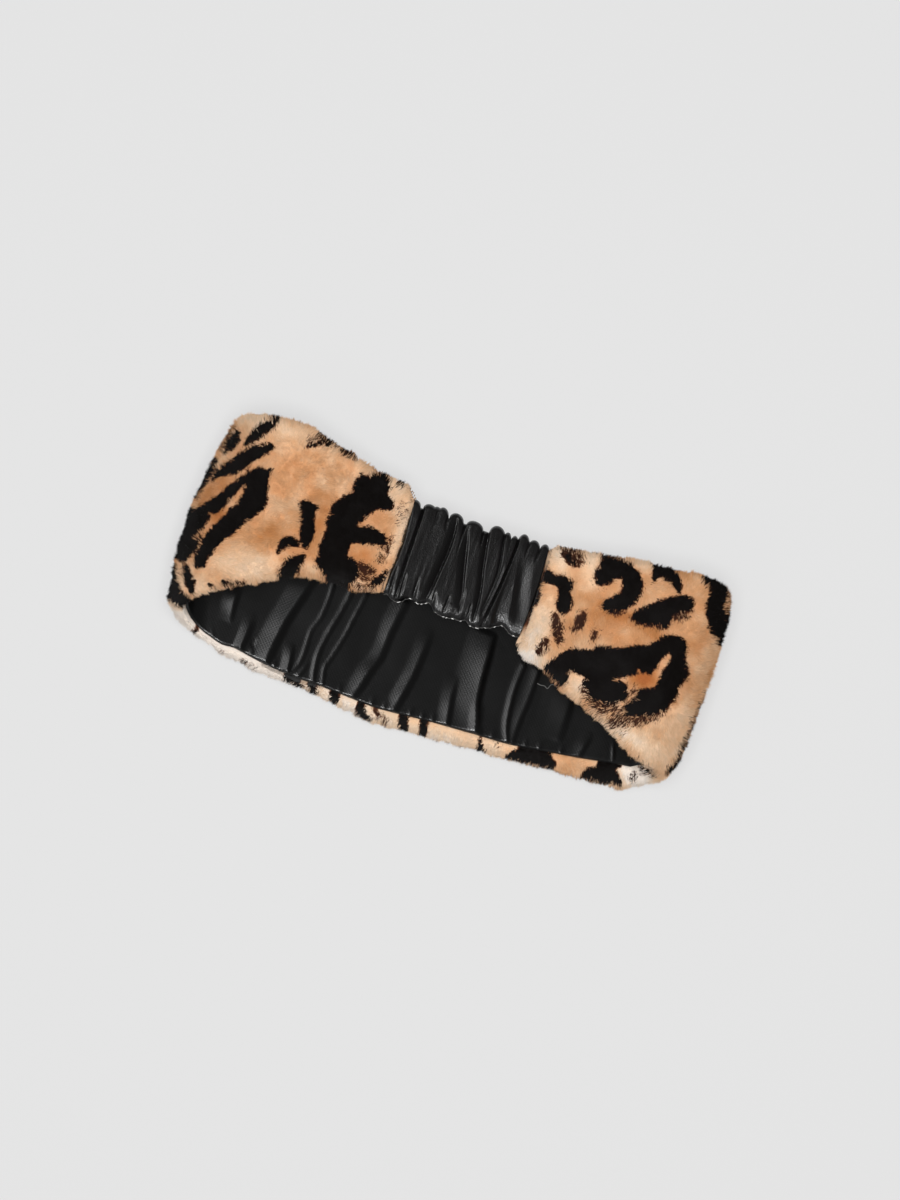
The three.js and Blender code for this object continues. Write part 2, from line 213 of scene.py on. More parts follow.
# The skin is printed with bold leopard blotches before it is cut, so they run over folds
# and edges. Each blotch is a chain of overlapping rounds: x, y, radius in millimetres, as
# they lie seen from above. Cut-outs are the light islands inside a blotch.
# Kinds of blotch: half the width of its border in mm, how dark the dye is, how much each
# hair differs from the next, and how full its middle is. The first two are full, the next
# two let light hairs through, and the last two are sprinklings of dark hairs.
CRISP, SOFT = (0.8, 1.0, 0.25, 2), (1.4, 1.0, 0.5, 2)
DARK, BROWN = (1.8, 0.95, 0.9, 1.0), (1.6, 0.61, 0.9, 0.7)
STIPPLED, FAINT = (2.4, 0.62, 1.0, 0.4), (2.4, 0.54, 1.0, -0.3)
BACK_BLOTCHES = {
    "left crescent": (CRISP, [(-110.6, 62.4, 1.4), (-112, 60.4, 2.2), (-113.8, 57.6, 3),
        (-115.8, 54.4, 3.1), (-118.2, 50.2, 2.7), (-120.4, 46.6, 1.7), (-122, 44, 0.6)]),
    "left leaf": (CRISP, [(-127.2, 47.8, 1.8), (-127.8, 44.4, 3), (-128.8, 40.6, 2.6),
        (-130, 37, 1.1)]),
    "left upper stripe": (CRISP, [(-110, 47.2, 2.6), (-112.2, 45.2, 3.2), (-115, 42.4, 3.6),
        (-118.4, 38.6, 3.9), (-120.8, 34.6, 4.3), (-123.4, 31.2, 3.9), (-127, 28.6, 3.1),
        (-129.8, 26, 2), (-131.2, 21.6, 0.8)]),
    "left flank": (CRISP, [(-133.6, 31.6, 1.6), (-134.2, 27, 2), (-134.6, 21, 1.8),
        (-135.6, 15, 1.4), (-136.4, 11, 0.8)]),
    "left flank, round the fold": (CRISP, [(-137, 27, 2.6), (-137.6, 19, 2.2), (-138.4, 12, 1.4)]),
    "left rim": (SOFT, [(-130.6, 51, 0.4), (-132, 45, 0.5), (-133.2, 38, 0.6)]),
    "left ring, right arm": (CRISP, [(-105.8, 35.6, 1.6), (-108.2, 31.6, 3.8), (-108.2, 27, 5.2),
        (-107.4, 19.8, 6.3), (-110, 13.6, 5.2), (-112.4, 9.6, 5.2), (-115, 4, 5),
        (-118.4, -1.4, 4.8), (-121.2, -7, 4.3), (-122.6, -13, 3.8), (-122.6, -17.6, 3.4),
        (-123.4, -20.4, 1.6)]),
    "left ring, left arm": (CRISP, [(-109.6, 34, 2.2), (-113.2, 29.6, 2.8), (-116.4, 25.6, 2.8),
        (-119.6, 20, 3.1), (-122.3, 15, 3.3), (-125.4, 9.8, 3.9), (-129.4, 4.6, 4.4),
        (-130.6, 0, 5), (-130.8, -5, 4.9), (-130.6, -10.4, 4.7), (-131, -15.4, 4.5),
        (-131.8, -18.8, 3.2)]),
    "left ring, round the fold": (CRISP, [(-136.6, 4, 2), (-137, -2, 3.4), (-137, -9, 3.8),
        (-136.6, -16, 3.4), (-136, -19.6, 2)]),
    "left foot": (SOFT, [(-129, -22.6, 1.3), (-127, -25.8, 2.3), (-124, -29.8, 2.5),
        (-121.8, -32.6, 2), (-120.6, -34, 1)]),
    "left corner": (CRISP, [(-134.8, -24.6, 1.4), (-134.2, -29, 2.6), (-132.4, -33.6, 3.4),
        (-130, -37.6, 4), (-126, -39.6, 3.8), (-121.8, -40, 3)]),
    "left corner, round the fold": (CRISP, [(-137, -28, 2), (-136.6, -33, 3), (-134.6, -37.6, 3),
        (-132.4, -39.6, 2.4)]),
    "left low fringe": (SOFT, [(-108.4, -24.8, 1.1), (-104, -23.2, 1.3), (-98, -21.2, 0.7)]),
    "left low fleck": (SOFT, [(-113.6, -27.4, 0.9), (-112, -28, 0.8)]),
    "left bar": (CRISP, [(-84.2, 26.4, 1.6), (-81, 25, 3.8), (-79.6, 20, 3.4), (-77.9, 15, 3.7),
        (-76.9, 11, 3.3), (-76.4, 7.8, 2.1), (-75.6, 5.8, 0.8)]),
    "left bar, corner": (CRISP, [(-79.4, 26, 2.4), (-77.8, 26.8, 1.5)]),
    "left arc": (SOFT, [(-87.4, -1, 0.8), (-87.4, 1.8, 1.8), (-86.2, 5, 2.8), (-84, 6.8, 2.6),
        (-81.4, 6.6, 1.9), (-79.4, 5.6, 0.9)]),
    "left tongue": (DARK, [(-75.4, 1.8, 1.4), (-77.4, -1.4, 3.2), (-79, -5, 4.4), (-80, -9, 4.4),
        (-80, -12.4, 3.4)]),
    "left mass": (SOFT, [(-51, 53.6, 1.8), (-53.2, 50, 4.4), (-57, 43.8, 7.2), (-55.2, 40.6, 7.4),
        (-58.8, 35, 7.4), (-62.6, 29, 7.9), (-63.4, 23, 6.7), (-62.4, 16, 7.1), (-62.4, 9, 7.1),
        (-60, 3.6, 7.2), (-56, -1.6, 6.4), (-53.4, -6, 5)]),
    "left mass, top": (DARK, [(-49.8, 52, 2), (-49.4, 48, 3.2)]),
    "left mass, top arm": (SOFT, [(-52, 42.4, 6.8), (-47.8, 41, 4.6), (-44.4, 40.6, 2.8),
        (-42.4, 40.6, 1.2)]),
    "left mass, middle arm": (SOFT, [(-58, 20, 5), (-53, 21.2, 4), (-48, 22.8, 4), (-44.4, 23, 3.8),
        (-42.2, 23, 3.2)]),
    "left mass, low arm": (SOFT, [(-56, 4, 5.8), (-52.4, 3.6, 5.6), (-51, 1, 4.2), (-51, -3, 3.6)]),
    "left mass, low arm's shade": (STIPPLED, [(-47.6, 4.4, 3.2), (-44.6, 2.6, 2.4), (-41, 2, 1.6),
        (-38.6, 2, 1)]),
    "left mass, fringe": (BROWN, [(-47, 6.6, 2.8), (-43.4, 6, 2.8), (-40.6, 6.4, 1.8)]),
    "left mass, foot": (DARK, [(-68.6, 3.6, 1.4), (-65.8, 0.8, 2.3), (-62, -1.6, 2.6),
        (-58.8, -3.2, 2.6)]),
    "left seam streak": (BROWN, [(-37.6, 26, 0.8), (-37.2, 21, 1.2), (-36.6, 15, 1.1),
        (-36, 11, 0.6)]),
    "left seam corner": (DARK, [(-38.6, 0.2, 1.5), (-36.4, 2.8, 2.4), (-34.8, 5.6, 1.9),
        (-34.2, 8.8, 0.8)]),
    "left low stipple": (STIPPLED, [(-45.6, -2.6, 1.2), (-41, -2, 1.8), (-37, -1.4, 1.4)]),
    # A faint line of darker hairs beside the seam.
    "left seam, faint dark line": (FAINT, [(-37.6, 44, 0.5), (-36.4, 39, 0.8), (-35.8, 34, 0.4)]),
    "left seam hairs": (STIPPLED, [(-40, 24, 1), (-40, 19, 0.8), (-39.6, 13, 0.7)]),
    "left top tuft": (SOFT, [(-93, 53.2, 0.6), (-90.6, 54.8, 1), (-88, 57, 1.3), (-85.6, 58, 1)]),
    "left top hairs": (STIPPLED, [(-91.4, 57.4, 0.7), (-87.6, 59.6, 0.8)]),
    "left top edge": (SOFT, [(-88.4, 61.8, 0.9), (-86, 60.4, 1.8), (-83, 60, 1.9), (-79.6, 60, 1.3),
        (-76.6, 59.6, 0.9), (-73.6, 58.2, 1.6), (-70.6, 57.4, 1.1), (-66.6, 57.4, 0.5)]),
    "left spot": (SOFT, [(-42.6, 53.4, 1.2), (-41.2, 53, 1.4)]),
    "right stipple": (BROWN, [(47.2, 47.6, 2.8), (50.6, 46.8, 3.9), (53.2, 45.4, 3)]),
    "right stipple, middle": (DARK, [(48.8, 47, 1.6), (51.4, 45.2, 1.8)]),
    "right stipple, fringe": (STIPPLED, [(44.2, 50, 1.8), (49, 51.2, 1.2), (53.4, 50, 1.8),
        (56.4, 46.4, 1.6)]),
    "right hook": (SOFT, [(65.6, 53.4, 1.8), (69.6, 51, 4), (73.6, 51, 3.6), (77.4, 50.6, 4.2),
        (81.4, 48, 4.6), (83.4, 44.6, 5), (84, 41, 5), (83.4, 37.6, 4.6), (80.4, 33.8, 4.4),
        (77, 31, 3.9), (75, 29.8, 2.4)]),
    "right hook, stub": (SOFT, [(68.4, 49, 4), (70.4, 47, 4.6), (73.4, 47.8, 3.6)]),
    "right hook, stub's foot": (DARK, [(67.2, 45, 3.6), (67.4, 41.2, 3.2), (71.2, 43.4, 3.1)]),
    "right hook, fringe": (STIPPLED, [(66, 40.4, 2.2), (69, 39.4, 1.6), (73.6, 43.6, 1.6)]),
    "right hook, back": (BROWN, [(86.4, 47, 2), (87.2, 41, 2), (85.4, 35, 1.8)]),
    "right hook, foot": (BROWN, [(75, 28.4, 1.4), (79, 27.8, 1.4), (83, 29.4, 1.4)]),
    "right top tuft": (SOFT, [(89.4, 58.6, 1.4), (93, 56.6, 3.4), (98, 56.6, 3.6), (101.6, 55, 3),
        (104.4, 52.2, 2.2), (106, 49.6, 1)]),
    "right top tuft, leg": (SOFT, [(92.6, 53.4, 2.2), (93.2, 50.4, 1.2), (93.2, 48.8, 0.5)]),
    "right comma": (CRISP, [(90.6, 30.4, 2.2), (94, 31.8, 4.3), (98.6, 34, 5.6), (102.6, 34.8, 5),
        (104.4, 32, 3)]),
    "right comma, head": (SOFT, [(101, 37.6, 4.8), (105.6, 41.6, 4.4), (109.6, 44.2, 4.2),
        (112, 45, 3.8)]),
    "right comma, fringe": (STIPPLED, [(105.6, 36, 3.2), (110, 38.4, 3), (113.6, 41, 2.2)]),
    "right comma, foot": (BROWN, [(88.8, 28.8, 1.4), (92, 27.2, 1.3), (97, 27.8, 1.2),
        (102, 28.8, 1.2)]),
    "right flank": (CRISP, [(116, 61, 1.8), (118.6, 59.8, 3), (122.4, 59, 3.6), (125, 57.4, 4.4),
        (125.4, 53, 4.7), (126.2, 48, 5), (128.6, 43.6, 5.2), (131, 39.6, 4.6), (133.4, 36, 2.8),
        (134.8, 31.6, 1.2)]),
    "right flank, rim": (SOFT, [(131.2, 57.6, 0.7), (133.2, 54, 0.8), (134.4, 49, 0.9),
        (134.6, 45, 1.6)]),
    "right flank, round the fold": (CRISP, [(136.6, 50, 2), (137, 44, 2.8), (137, 38, 2.6),
        (136.8, 32, 1.2)]),
    "right chain": (SOFT, [(38.8, 34, 2.6), (43, 34, 3.1), (46.2, 33.4, 2.3), (49.6, 33.8, 3.2),
        (52.4, 33.2, 3.4), (53.2, 29, 3.2), (54.6, 24.8, 4.3), (55.2, 22.2, 3.5)]),
    "right chain, edge": (SOFT, [(39.6, 29.4, 1), (39.8, 25, 1.6), (40, 21.4, 2.4),
        (40.6, 18.4, 1)]),
    "right chain, tail": (BROWN, [(52.4, 17.2, 2), (54.4, 13.6, 2.8), (56.6, 9.8, 3),
        (58, 6.6, 2.6), (59, 4.4, 1.2)]),
    "right oval": (BROWN, [(65.4, 22, 2), (65.2, 18.8, 3.1), (64.6, 15.8, 2.8), (64.4, 13, 1.4)]),
    "right dot": (BROWN, [(74.4, 15.6, 1.7), (74, 13, 2)]),
    "right low dot": (BROWN, [(53, 3.8, 1.8), (52.2, 0.4, 2.9), (51.2, -2.8, 2.2)]),
    "right mass": (CRISP, [(59.6, -8.6, 3), (63.4, -6.4, 4.8), (67.4, -1.4, 5.4), (72, -0.6, 6.2),
        (77.4, 0.2, 6.6), (83, 3, 8.4), (88, 4, 8), (93.6, 7.4, 7), (98.4, 11.4, 6.2),
        (103.2, 14, 5.2), (106, 18, 4.4), (110.6, 22.6, 5), (114.4, 23.8, 4.8), (117, 18, 4),
        (118.6, 11, 6.6), (117.2, 4, 5.4), (117, -1.4, 5.6), (112, -5.4, 5), (107.4, -6, 4.5)]),
    "right mass, belly": (SOFT, [(80, -2.6, 5.2), (86, -4, 5.4), (91, -6, 3.6), (96, -5.4, 3)]),
    "right mass, root": (SOFT, [(59.4, -9, 3.2), (63.4, -9.6, 4.6), (66.6, -11.6, 3.2),
        (66, -14.6, 1.6)]),
    "right mass, inner": (CRISP, [(97, 7, 5), (101.6, 9.6, 4.6), (105.6, 11.4, 3.8),
        (105.4, 7.2, 2.2)]),
    "right mass, leg": (DARK, [(117.6, -6, 4.4), (111, -9.4, 5), (106.6, -12, 4.8),
        (103, -15, 3.4)]),
    "right leg, fringe": (STIPPLED, [(118, -9.6, 3), (113.6, -13, 4), (108.4, -16.6, 4.4),
        (103, -19.4, 4.4), (98, -22, 3.2)]),
    "right slot hairs": (STIPPLED, [(101.6, -4.4, 1.2), (100.8, -9, 2.2), (99.4, -14, 2.6)]),
    "right belly, low": (DARK, [(79.6, -9.6, 3.2), (85, -11.6, 4.4), (91, -11.8, 4.6),
        (97, -9.6, 3.8)]),
    "right belly, fringe": (STIPPLED, [(79, -13, 2.4), (84.6, -16, 3.8), (91, -17.6, 4.2),
        (96.4, -16, 3.4)]),
    "right edge hairs": (FAINT, [(82, -18.6, 2.4), (89, -20.8, 3), (96, -23.4, 2.8),
        (103, -26.4, 1.8)]),
    "right rim": (SOFT, [(136.8, 7, 0.3), (136.7, -3, 0.9), (136.4, -13, 1.1), (135.9, -22, 1.1),
        (135.4, -29, 1.4)]),
    "right low rim": (CRISP, [(136, -30, 1.6), (134.6, -34.4, 2.2), (132.6, -37, 1.6)]),
    # Partly dark hairs, partly painted shadow where the back's low edge lies over the front.
    "right corner, dark hairs and painted shadow": (DARK, [(113.4, -37.8, 0.8), (117.6, -38.8, 1.2), (121.6, -40.6, 1.3),
        (126.4, -41.2, 0.8)]),
}
CUT_OUTS = {
    "left ring": (CRISP, [(-113.6, 25, 0.6), (-115.6, 20.4, 1.1), (-118.2, 14, 1),
        (-120.4, 8.4, 1.1), (-122.4, 4.4, 1.8), (-124.4, 1.4, 1.8), (-126, -2.4, 1.1),
        (-128, -5.6, 0.8), (-129.8, -8.4, 0.5)]),
    "left ring, patch": (CRISP, [(-122.4, 4.4, 1.8), (-125.8, 5.8, 0.9)]),
    "left ring, feet": (CRISP, [(-125.8, -4, 0.3), (-125.9, -10, 0.4), (-126.9, -15, 0.5),
        (-128.2, -20.4, 1.1)]),
    "left mass, nick": (SOFT, [(-65.4, 40.2, 1), (-62.6, 40.6, 0.3)]),
    "right mass": (SOFT, [(112.2, 17.2, 1.5), (111.6, 14, 1.7), (110.4, 9.6, 1.3),
        (109.6, 5.4, 1.7), (107.4, 2.4, 1.8), (103.4, 1, 1.6), (99.6, 0, 1.2), (95.6, -1.1, 0.9),
        (91.8, -2.6, 0.9)]),
    "right mass, nick": (SOFT, [(102.4, 2.6, 1.2), (100.8, 5.6, 0.8)]),
    "right mass, slot": (SOFT, [(103.8, -1.6, 0.5), (103, -6, 0.5), (100, -10.6, 0.7),
        (97.6, -15, 0.9)]),
}
FRONT_BLOTCHES = {
    "dot": (SOFT, [(-114.4, -52.2, 1.1), (-113.2, -51.2, 1.2)]),
    "fleck": (SOFT, [(-98.4, -57.6, 0.3), (-97.4, -57.4, 0.3)]),
    "smear": (SOFT, [(-86.8, -58.8, 0.9), (-84, -59.6, 0.6), (-79, -60.4, 0.2)]),
    "long wedge": (CRISP, [(-63.6, -58.9, 1.2), (-60, -59.3, 1.9), (-56.6, -60.1, 1.8),
        (-53.6, -61.2, 1)]),
    "bar one": (CRISP, [(-50.2, -57.6, 2), (-48, -61.8, 2.2)]),
    "bar two": (CRISP, [(-37.8, -58.2, 2.6), (-36.8, -61.8, 2.3)]),
    "bar three": (CRISP, [(-23.2, -59.6, 2.2), (-22.4, -62.4, 2.5), (-19.4, -63.8, 1.7),
        (-16.6, -64.6, 1)]),
    "brown bar": (BROWN, [(-15.6, -58.6, 1.9), (-12.8, -60.6, 1.7)]),
    "brown ring": (BROWN, [(-10, -60.2, 1), (-9, -62.8, 1.3)]),
    "bar four": (CRISP, [(-0.8, -57, 2.2), (-0.4, -60.2, 2.4), (1.1, -62.8, 2.1)]),
    "bar five": (CRISP, [(9.6, -54.4, 2.1), (9.8, -58, 1.9), (10.8, -61.8, 2.1)]),
    "triangle": (CRISP, [(39.1, -54.6, 0.8), (40, -57.6, 1.6), (40.9, -60, 2.3)]),
    "brown fleck": (STIPPLED, [(47.4, -53, 0.8)]),
    "broad wedge": (CRISP, [(54.6, -58.6, 1.2), (58, -56.4, 2.6), (62, -54.6, 4), (67, -53.6, 4.4),
        (72, -53, 4.4), (76, -54, 3)]),
    "broad wedge, top": (SOFT, [(60, -52, 1.6), (68, -50.6, 2), (74, -49.8, 1.4)]),
    "corner patch": (CRISP, [(94, -54, 1.8), (97.6, -51.8, 3.8), (102, -50.4, 4.8),
        (106, -49.6, 4.6), (109.4, -51, 3), (112.6, -52, 1.2)]),
    "corner patch, top": (CRISP, [(100, -45.2, 1.8), (106, -43.6, 1.8), (108.6, -42.6, 1.2)]),
    "corner flecks": (STIPPLED, [(117.6, -44.6, 1.1), (117.6, -47, 1)]),
}
# Warmer and paler places on the tan ground: x, y, reach along x and y, warmth (orange is
# above nothing, cream is below).
BACK_TONES = [
    (-95, 14, 12, 10, 0.1), (-87, 6, 9, 8, 0.3), (-123, 22, 5, 14, 0.2), (-131, 12, 6, 14, 0.3),
    (-122, 4, 6, 8, 0.5), (-100, 2, 9, 7, 0.15), (-105, -14, 17, 9, -0.4), (-90, -8, 10, 7, -0.45),
    (-118, -30, 10, 6, -0.6), (-122, 58, 11, 6, -0.5), (-105, 60, 14, 6, -0.6),
    (-72, 56, 14, 5, -0.3), (-78, 49, 14, 8, -0.1), (-73, 20, 4, 14, 0.45), (-43, 48, 6, 8, -0.75),
    (-34, 25, 4, 26, -0.7), (-34, 12, 4, 8, 0.5), (-46, 32, 8, 5, 0.25), (-48, 13, 8, 5, 0.3),
    (-70, -3, 6, 4, -0.5), (-44, -2, 6, 4, -0.4), (-128, -30, 5, 8, -0.2), (-128, -43, 9, 4, -1.0),
    (46, 5, 7, 17, -0.9), (44, 45, 6, 8, -0.9), (48, -8, 12, 5, -1.0), (60, 50, 6, 6, -0.8),
    (62, 38, 9, 8, -0.4), (84, 57, 7, 4, -0.6), (76, 25, 14, 6, 0.25),
    (90, 28, 13, 3.5, 0.8), (104, 24, 9, 3, 0.6), (90, 17, 12, 6, 0.15), (104, 3, 8, 6, 0.9),
    (131, 18, 6, 20, -0.1), (112, 34, 12, 4, 0.2), (131, -12, 6, 12, -0.2), (117, -21, 13, 9, -0.3),
    (126, -31, 11, 8, -0.7), (100, -27, 14, 4, -0.9), (75, -12, 6, 6, -0.9),
    (110, -30, 10, 4, -0.3),
]
FRONT_TONES = [
    (-92, -54, 40, 12, -1.4), (-20, -61, 36, 6, -0.65), (26, -58, 20, 7, -0.35),
    (85, -50, 12, 7, 0.1), (50, -57, 12, 6, -0.2), (118, -45, 9, 6, -1.2), (-126, -46, 13, 8, -1.4),
]
WOBBLE_SHARE = 0.35           # of a blotch's border that the wobble shifts it by
BORDER_REACH = 3              # half widths of its border that a blotch may reach out


def printed(points_x, points_y, blotches, wobble, grain):
    """How dark the print is at each point, from 0 to 1. Wobble shifts each border, and
    grain, from 0 to 1, decides which of the hairs in it take less dye."""
    dark = np.zeros(len(points_x), np.float32)
    for (fuzz, strength, hairy, full), chain in blotches.values():
        links = list(zip(chain, chain[1:])) or [(chain[0], chain[0])]
        reach = max(radius for _, _, radius in chain) + BORDER_REACH * fuzz
        xs, ys = [p[0] for p in chain], [p[1] for p in chain]
        near = ((points_x > min(xs) - reach) & (points_x < max(xs) + reach)
                & (points_y > min(ys) - reach) & (points_y < max(ys) + reach))
        spots = np.flatnonzero(near)
        if not len(spots):
            continue
        x, y = points_x[spots], points_y[spots]
        gap = np.full(len(spots), FAR, np.float32)
        for (ax, ay, ar), (bx, by, br) in links:
            length = max((bx - ax) ** 2 + (by - ay) ** 2, SMALLEST)
            share = np.clip(((x - ax) * (bx - ax) + (y - ay) * (by - ay)) / length, 0, 1)
            radius = ar + (br - ar) * share
            away = np.hypot(x - ax - share * (bx - ax), y - ay - share * (by - ay))
            gap = np.minimum(gap, away - radius)
        inside = np.minimum(WOBBLE_SHARE * wobble[spots] - gap / fuzz, full)
        inside = inside + hairy * (1 - 2 * grain[spots])
        cover = strength * smooth(0.5 + (0.5 + hairy) * inside)
        dark[spots] = np.maximum(dark[spots], cover)
    return dark


# Rosettes on the front's outer face, which shows only from below: mm and radians.
ROSETTES_SEED = 7
ROSETTE_SPACING = (38, 33)
ROSETTE_SHIFT = (5, 4)        # how far each may stand out of line
ROSETTE_START = -14           # y of a row near the middle
ROSETTE_RADIUS = (9, 12.5)
ROSETTE_STRETCH = 1.25        # along the band
STROKES = (3, 5)              # at least the first, and fewer than the second
STROKE_TURN = 1.7             # from the start of one stroke to the next
STROKE_ANGLE = (0.8, 1.3)
STROKE_RADIUS = (2.2, 3.8)
STROKE_FORM = np.array([0.5, 1, 1.1, 0.9, 0.4])     # its radius from end to end
RIM_CHART_Y = -50             # below this the chart of the front's rim takes over


def hidden_rosettes():
    """Broken rings on the unseen face of the front, each of three or four bold strokes."""
    draw = np.random.default_rng(ROSETTES_SEED)
    (step_x, step_y), (shift_x, shift_y) = ROSETTE_SPACING, ROSETTE_SHIFT
    rosettes = {}
    for column in range(-4, 5):
        for row in range(-1, 3):
            x = (column + 0.5 * (row % 2)) * step_x + draw.uniform(-shift_x, shift_x)
            y = row * step_y + ROSETTE_START + draw.uniform(-shift_y, shift_y)
            turn, reach = draw.uniform(0, 2 * math.pi), draw.uniform(*ROSETTE_RADIUS)
            for stroke in range(draw.integers(*STROKES)):
                start = turn + stroke * STROKE_TURN
                angles = np.linspace(start, start + draw.uniform(*STROKE_ANGLE), len(STROKE_FORM))
                radii = draw.uniform(*STROKE_RADIUS) * STROKE_FORM
                chain = [(x + ROSETTE_STRETCH * reach * math.cos(a), y + reach * math.sin(a), w)
                         for a, w in zip(angles, radii)]
                if min(link[1] for link in chain) > RIM_CHART_Y:
                    rosettes[f"rosette {column} {row} {stroke}"] = (SOFT, chain)
    return rosettes


def ground_tone(points_x, points_y, tones):
    tone = np.zeros(len(points_x), np.float32)
    for x, y, reach_x, reach_y, warmth in tones:
        away = ((points_x - x) / reach_x) ** 2 + ((points_y - y) / reach_y) ** 2
        tone += warmth * np.exp(-away)
    return tone


HIDDEN_BLOTCHES = {**FRONT_BLOTCHES, **hidden_rosettes()}
FURTHEST = FOLD_X + FOLD_RADIUS + FUR_DEPTH
CHART_END, CHART_FADE = 4, 10     # how far the back's chart runs on under a fold, and fades
# Strength and size in mm of the shifts in a blotch's border, and in the ground's warmth.
WOBBLE, FINE_WOBBLE = (0.8, 2.4), (0.5, 1.1)
PATCHES, SPECKS = (0.3, 8), (0.22, 3.4)
# The front's low rim is paler: from this height above the floor and this far below the
# middle, each over a distance, and by this much.
RIM_Z, RIM_Z_EASE, RIM_Y, RIM_Y_EASE, RIM_PALER = 1, 6, 30, 12, 0.45
WARMTH_RANGE = (-1.3, 1.2)


def pattern_at(places, on_back, facing_up, grain):
    """The print's darkness and the ground's warmth at each place, in mm. Under the end
    folds the chart runs on round them and fades into the front's."""
    x, y, z = places[:, 0], places[:, 1], places[:, 2]
    seen = on_back | facing_up
    fullest, rate = by_side(x, SWELL)
    turning = FURTHEST - rate * (y - fullest) ** 2
    past = np.clip(2 * turning - np.abs(x), turning, None)
    chart_x = np.where(seen, x, np.sign(x) * past)
    hidden = np.where(np.abs(x) < FOLD_X, 1.0, smooth((past - turning - CHART_END) / CHART_FADE))
    hidden = np.where(seen, 0, hidden)
    wobble = WOBBLE[0] * tufts(places, WOBBLE[1])
    wobble = wobble + FINE_WOBBLE[0] * tufts(places + ELSEWHERE, FINE_WOBBLE[1])
    dark_back = printed(chart_x, y, {**BACK_BLOTCHES, **FRONT_BLOTCHES}, wobble, grain)
    dark_back = dark_back * (1 - printed(chart_x, y, CUT_OUTS, -wobble, grain))
    dark_front = printed(x, y, HIDDEN_BLOTCHES, wobble, grain)
    dark = dark_back * (1 - hidden) + dark_front * hidden
    rim = smooth((z - RIM_Z) / RIM_Z_EASE) * ~on_back * smooth((-y - RIM_Y) / RIM_Y_EASE)
    tone = ground_tone(x, y, BACK_TONES) * (1 - hidden)
    tone = tone + ground_tone(x, y, FRONT_TONES) * (1 - on_back) - RIM_PALER * rim
    tone = tone + PATCHES[0] * lumps(places, PATCHES[1]) + SPECKS[0] * tufts(places, SPECKS[1])
    return dark, np.clip(tone, *WARMTH_RANGE)


TIP_HEIGHT = 2.3              # how far the tips stand over the body of the wool
SKIN_STEP = 1.8
SKIN_ACROSS = 56              # points over the pile's face between the rolled edges
ROLL_POINTS = 13
SEAM_DEPTH_SHARE = 0.6
SEAM_EASE = 9
TRIMMED, UNTRIMMED = 0.7, 0.3     # height of the tips beside the lining, and what is cut off
TRIM_ROWS = 0.35              # of a rolled edge's rows over which they come to full height
LOWEST = 0.3                  # the wool's body stays this far above the floor


def rolled_edge(points):
    """EDGE_ROLL eased into that many rows, from the lining seam to the pile's face."""
    rows = np.array(EDGE_ROLL, float)
    at = np.linspace(0, len(rows) - 1, points)
    return look_up(np.column_stack([np.arange(len(rows)), rows]), at)


def trimmed(columns, roll_points):
    """Share of the full pile height at each column, low beside the lining seams."""
    at = np.arange(columns)
    from_lining = np.minimum(at, columns - 1 - at)
    return TRIMMED + UNTRIMMED * smooth(from_lining / (TRIM_ROWS * roll_points))


def fur_face(route, across, roll_points, sink, root=0):
    """The outer form from the low lining seam, round the low edge, over the pile's face
    and round the high edge, as a grid in mm: its points sunk by the height of the tips and
    then by the root, its outward directions, and its points before they are sunk."""
    eased = np.sqrt(np.clip(route[:, 7] / SEAM_EASE, 0, 1))
    depth = (FUR_DEPTH * (SEAM_DEPTH_SHARE + (1 - SEAM_DEPTH_SHARE) * eased))[:, None]
    low, high, roll = (route[:, k, None] for k in (4, 5, 6))
    edge = rolled_edge(roll_points)
    inset, rise = edge[None, :, 0], edge[None, :, 1]
    middle = np.linspace(0, 1, across + 2)[None, 1:-1]
    reach = edge[-1, 0] * roll
    face_y = (low + reach) + (high - low - 2 * reach) * middle
    y = np.hstack([low + inset * roll, face_y, (high - inset * roll)[:, ::-1]])
    out = np.hstack([rise * depth, np.repeat(depth, across, axis=1), (rise * depth)[:, ::-1]])
    tips = place(route, y, out)
    normals = grid_normals(tips)
    deep = sink * trimmed(tips.shape[1], roll_points) + root
    points = tips - deep[None, :, None] * normals
    points[..., 2] = np.maximum(points[..., 2], LOWEST)
    return points, normals, tips


def unit(vectors):
    return vectors / np.maximum(np.linalg.norm(vectors, axis=-1, keepdims=True), SMALLEST)


def grid_normals(points):
    """Outward directions over a grid whose rows run round the loop."""
    return unit(np.cross(np.gradient(points, axis=1), np.gradient(points, axis=0)))


def grid_faces(rows, columns, closed=False):
    """Quads over a grid of points, with the last column joined to the first if closed."""
    i = np.arange(rows - 1)[:, None] * columns
    j = np.arange(columns if closed else columns - 1)[None, :]
    k = (j + 1) % columns
    quads = np.stack([i + j, i + columns + j, i + columns + k, i + k], axis=-1)
    return quads.reshape(-1, 4)


def closed_strip(rings):
    """Points and triangles of a strip made of closed rings, capped at both ends."""
    rows, columns = rings.shape[:2]
    points = rings.reshape(-1, 3)
    points = np.vstack([points, rings[0].mean(0), rings[-1].mean(0)])
    faces = grid_faces(rows, columns, closed=True)
    ring = np.arange(columns)
    after = (ring + 1) % columns
    end = (rows - 1) * columns
    first_cap = np.column_stack([ring, after, np.full(columns, len(points) - 2)])
    last_cap = np.column_stack([end + after, end + ring, np.full(columns, len(points) - 1)])
    return points, np.vstack([faces[:, :3], faces[:, [0, 2, 3]], first_cap, last_cap])


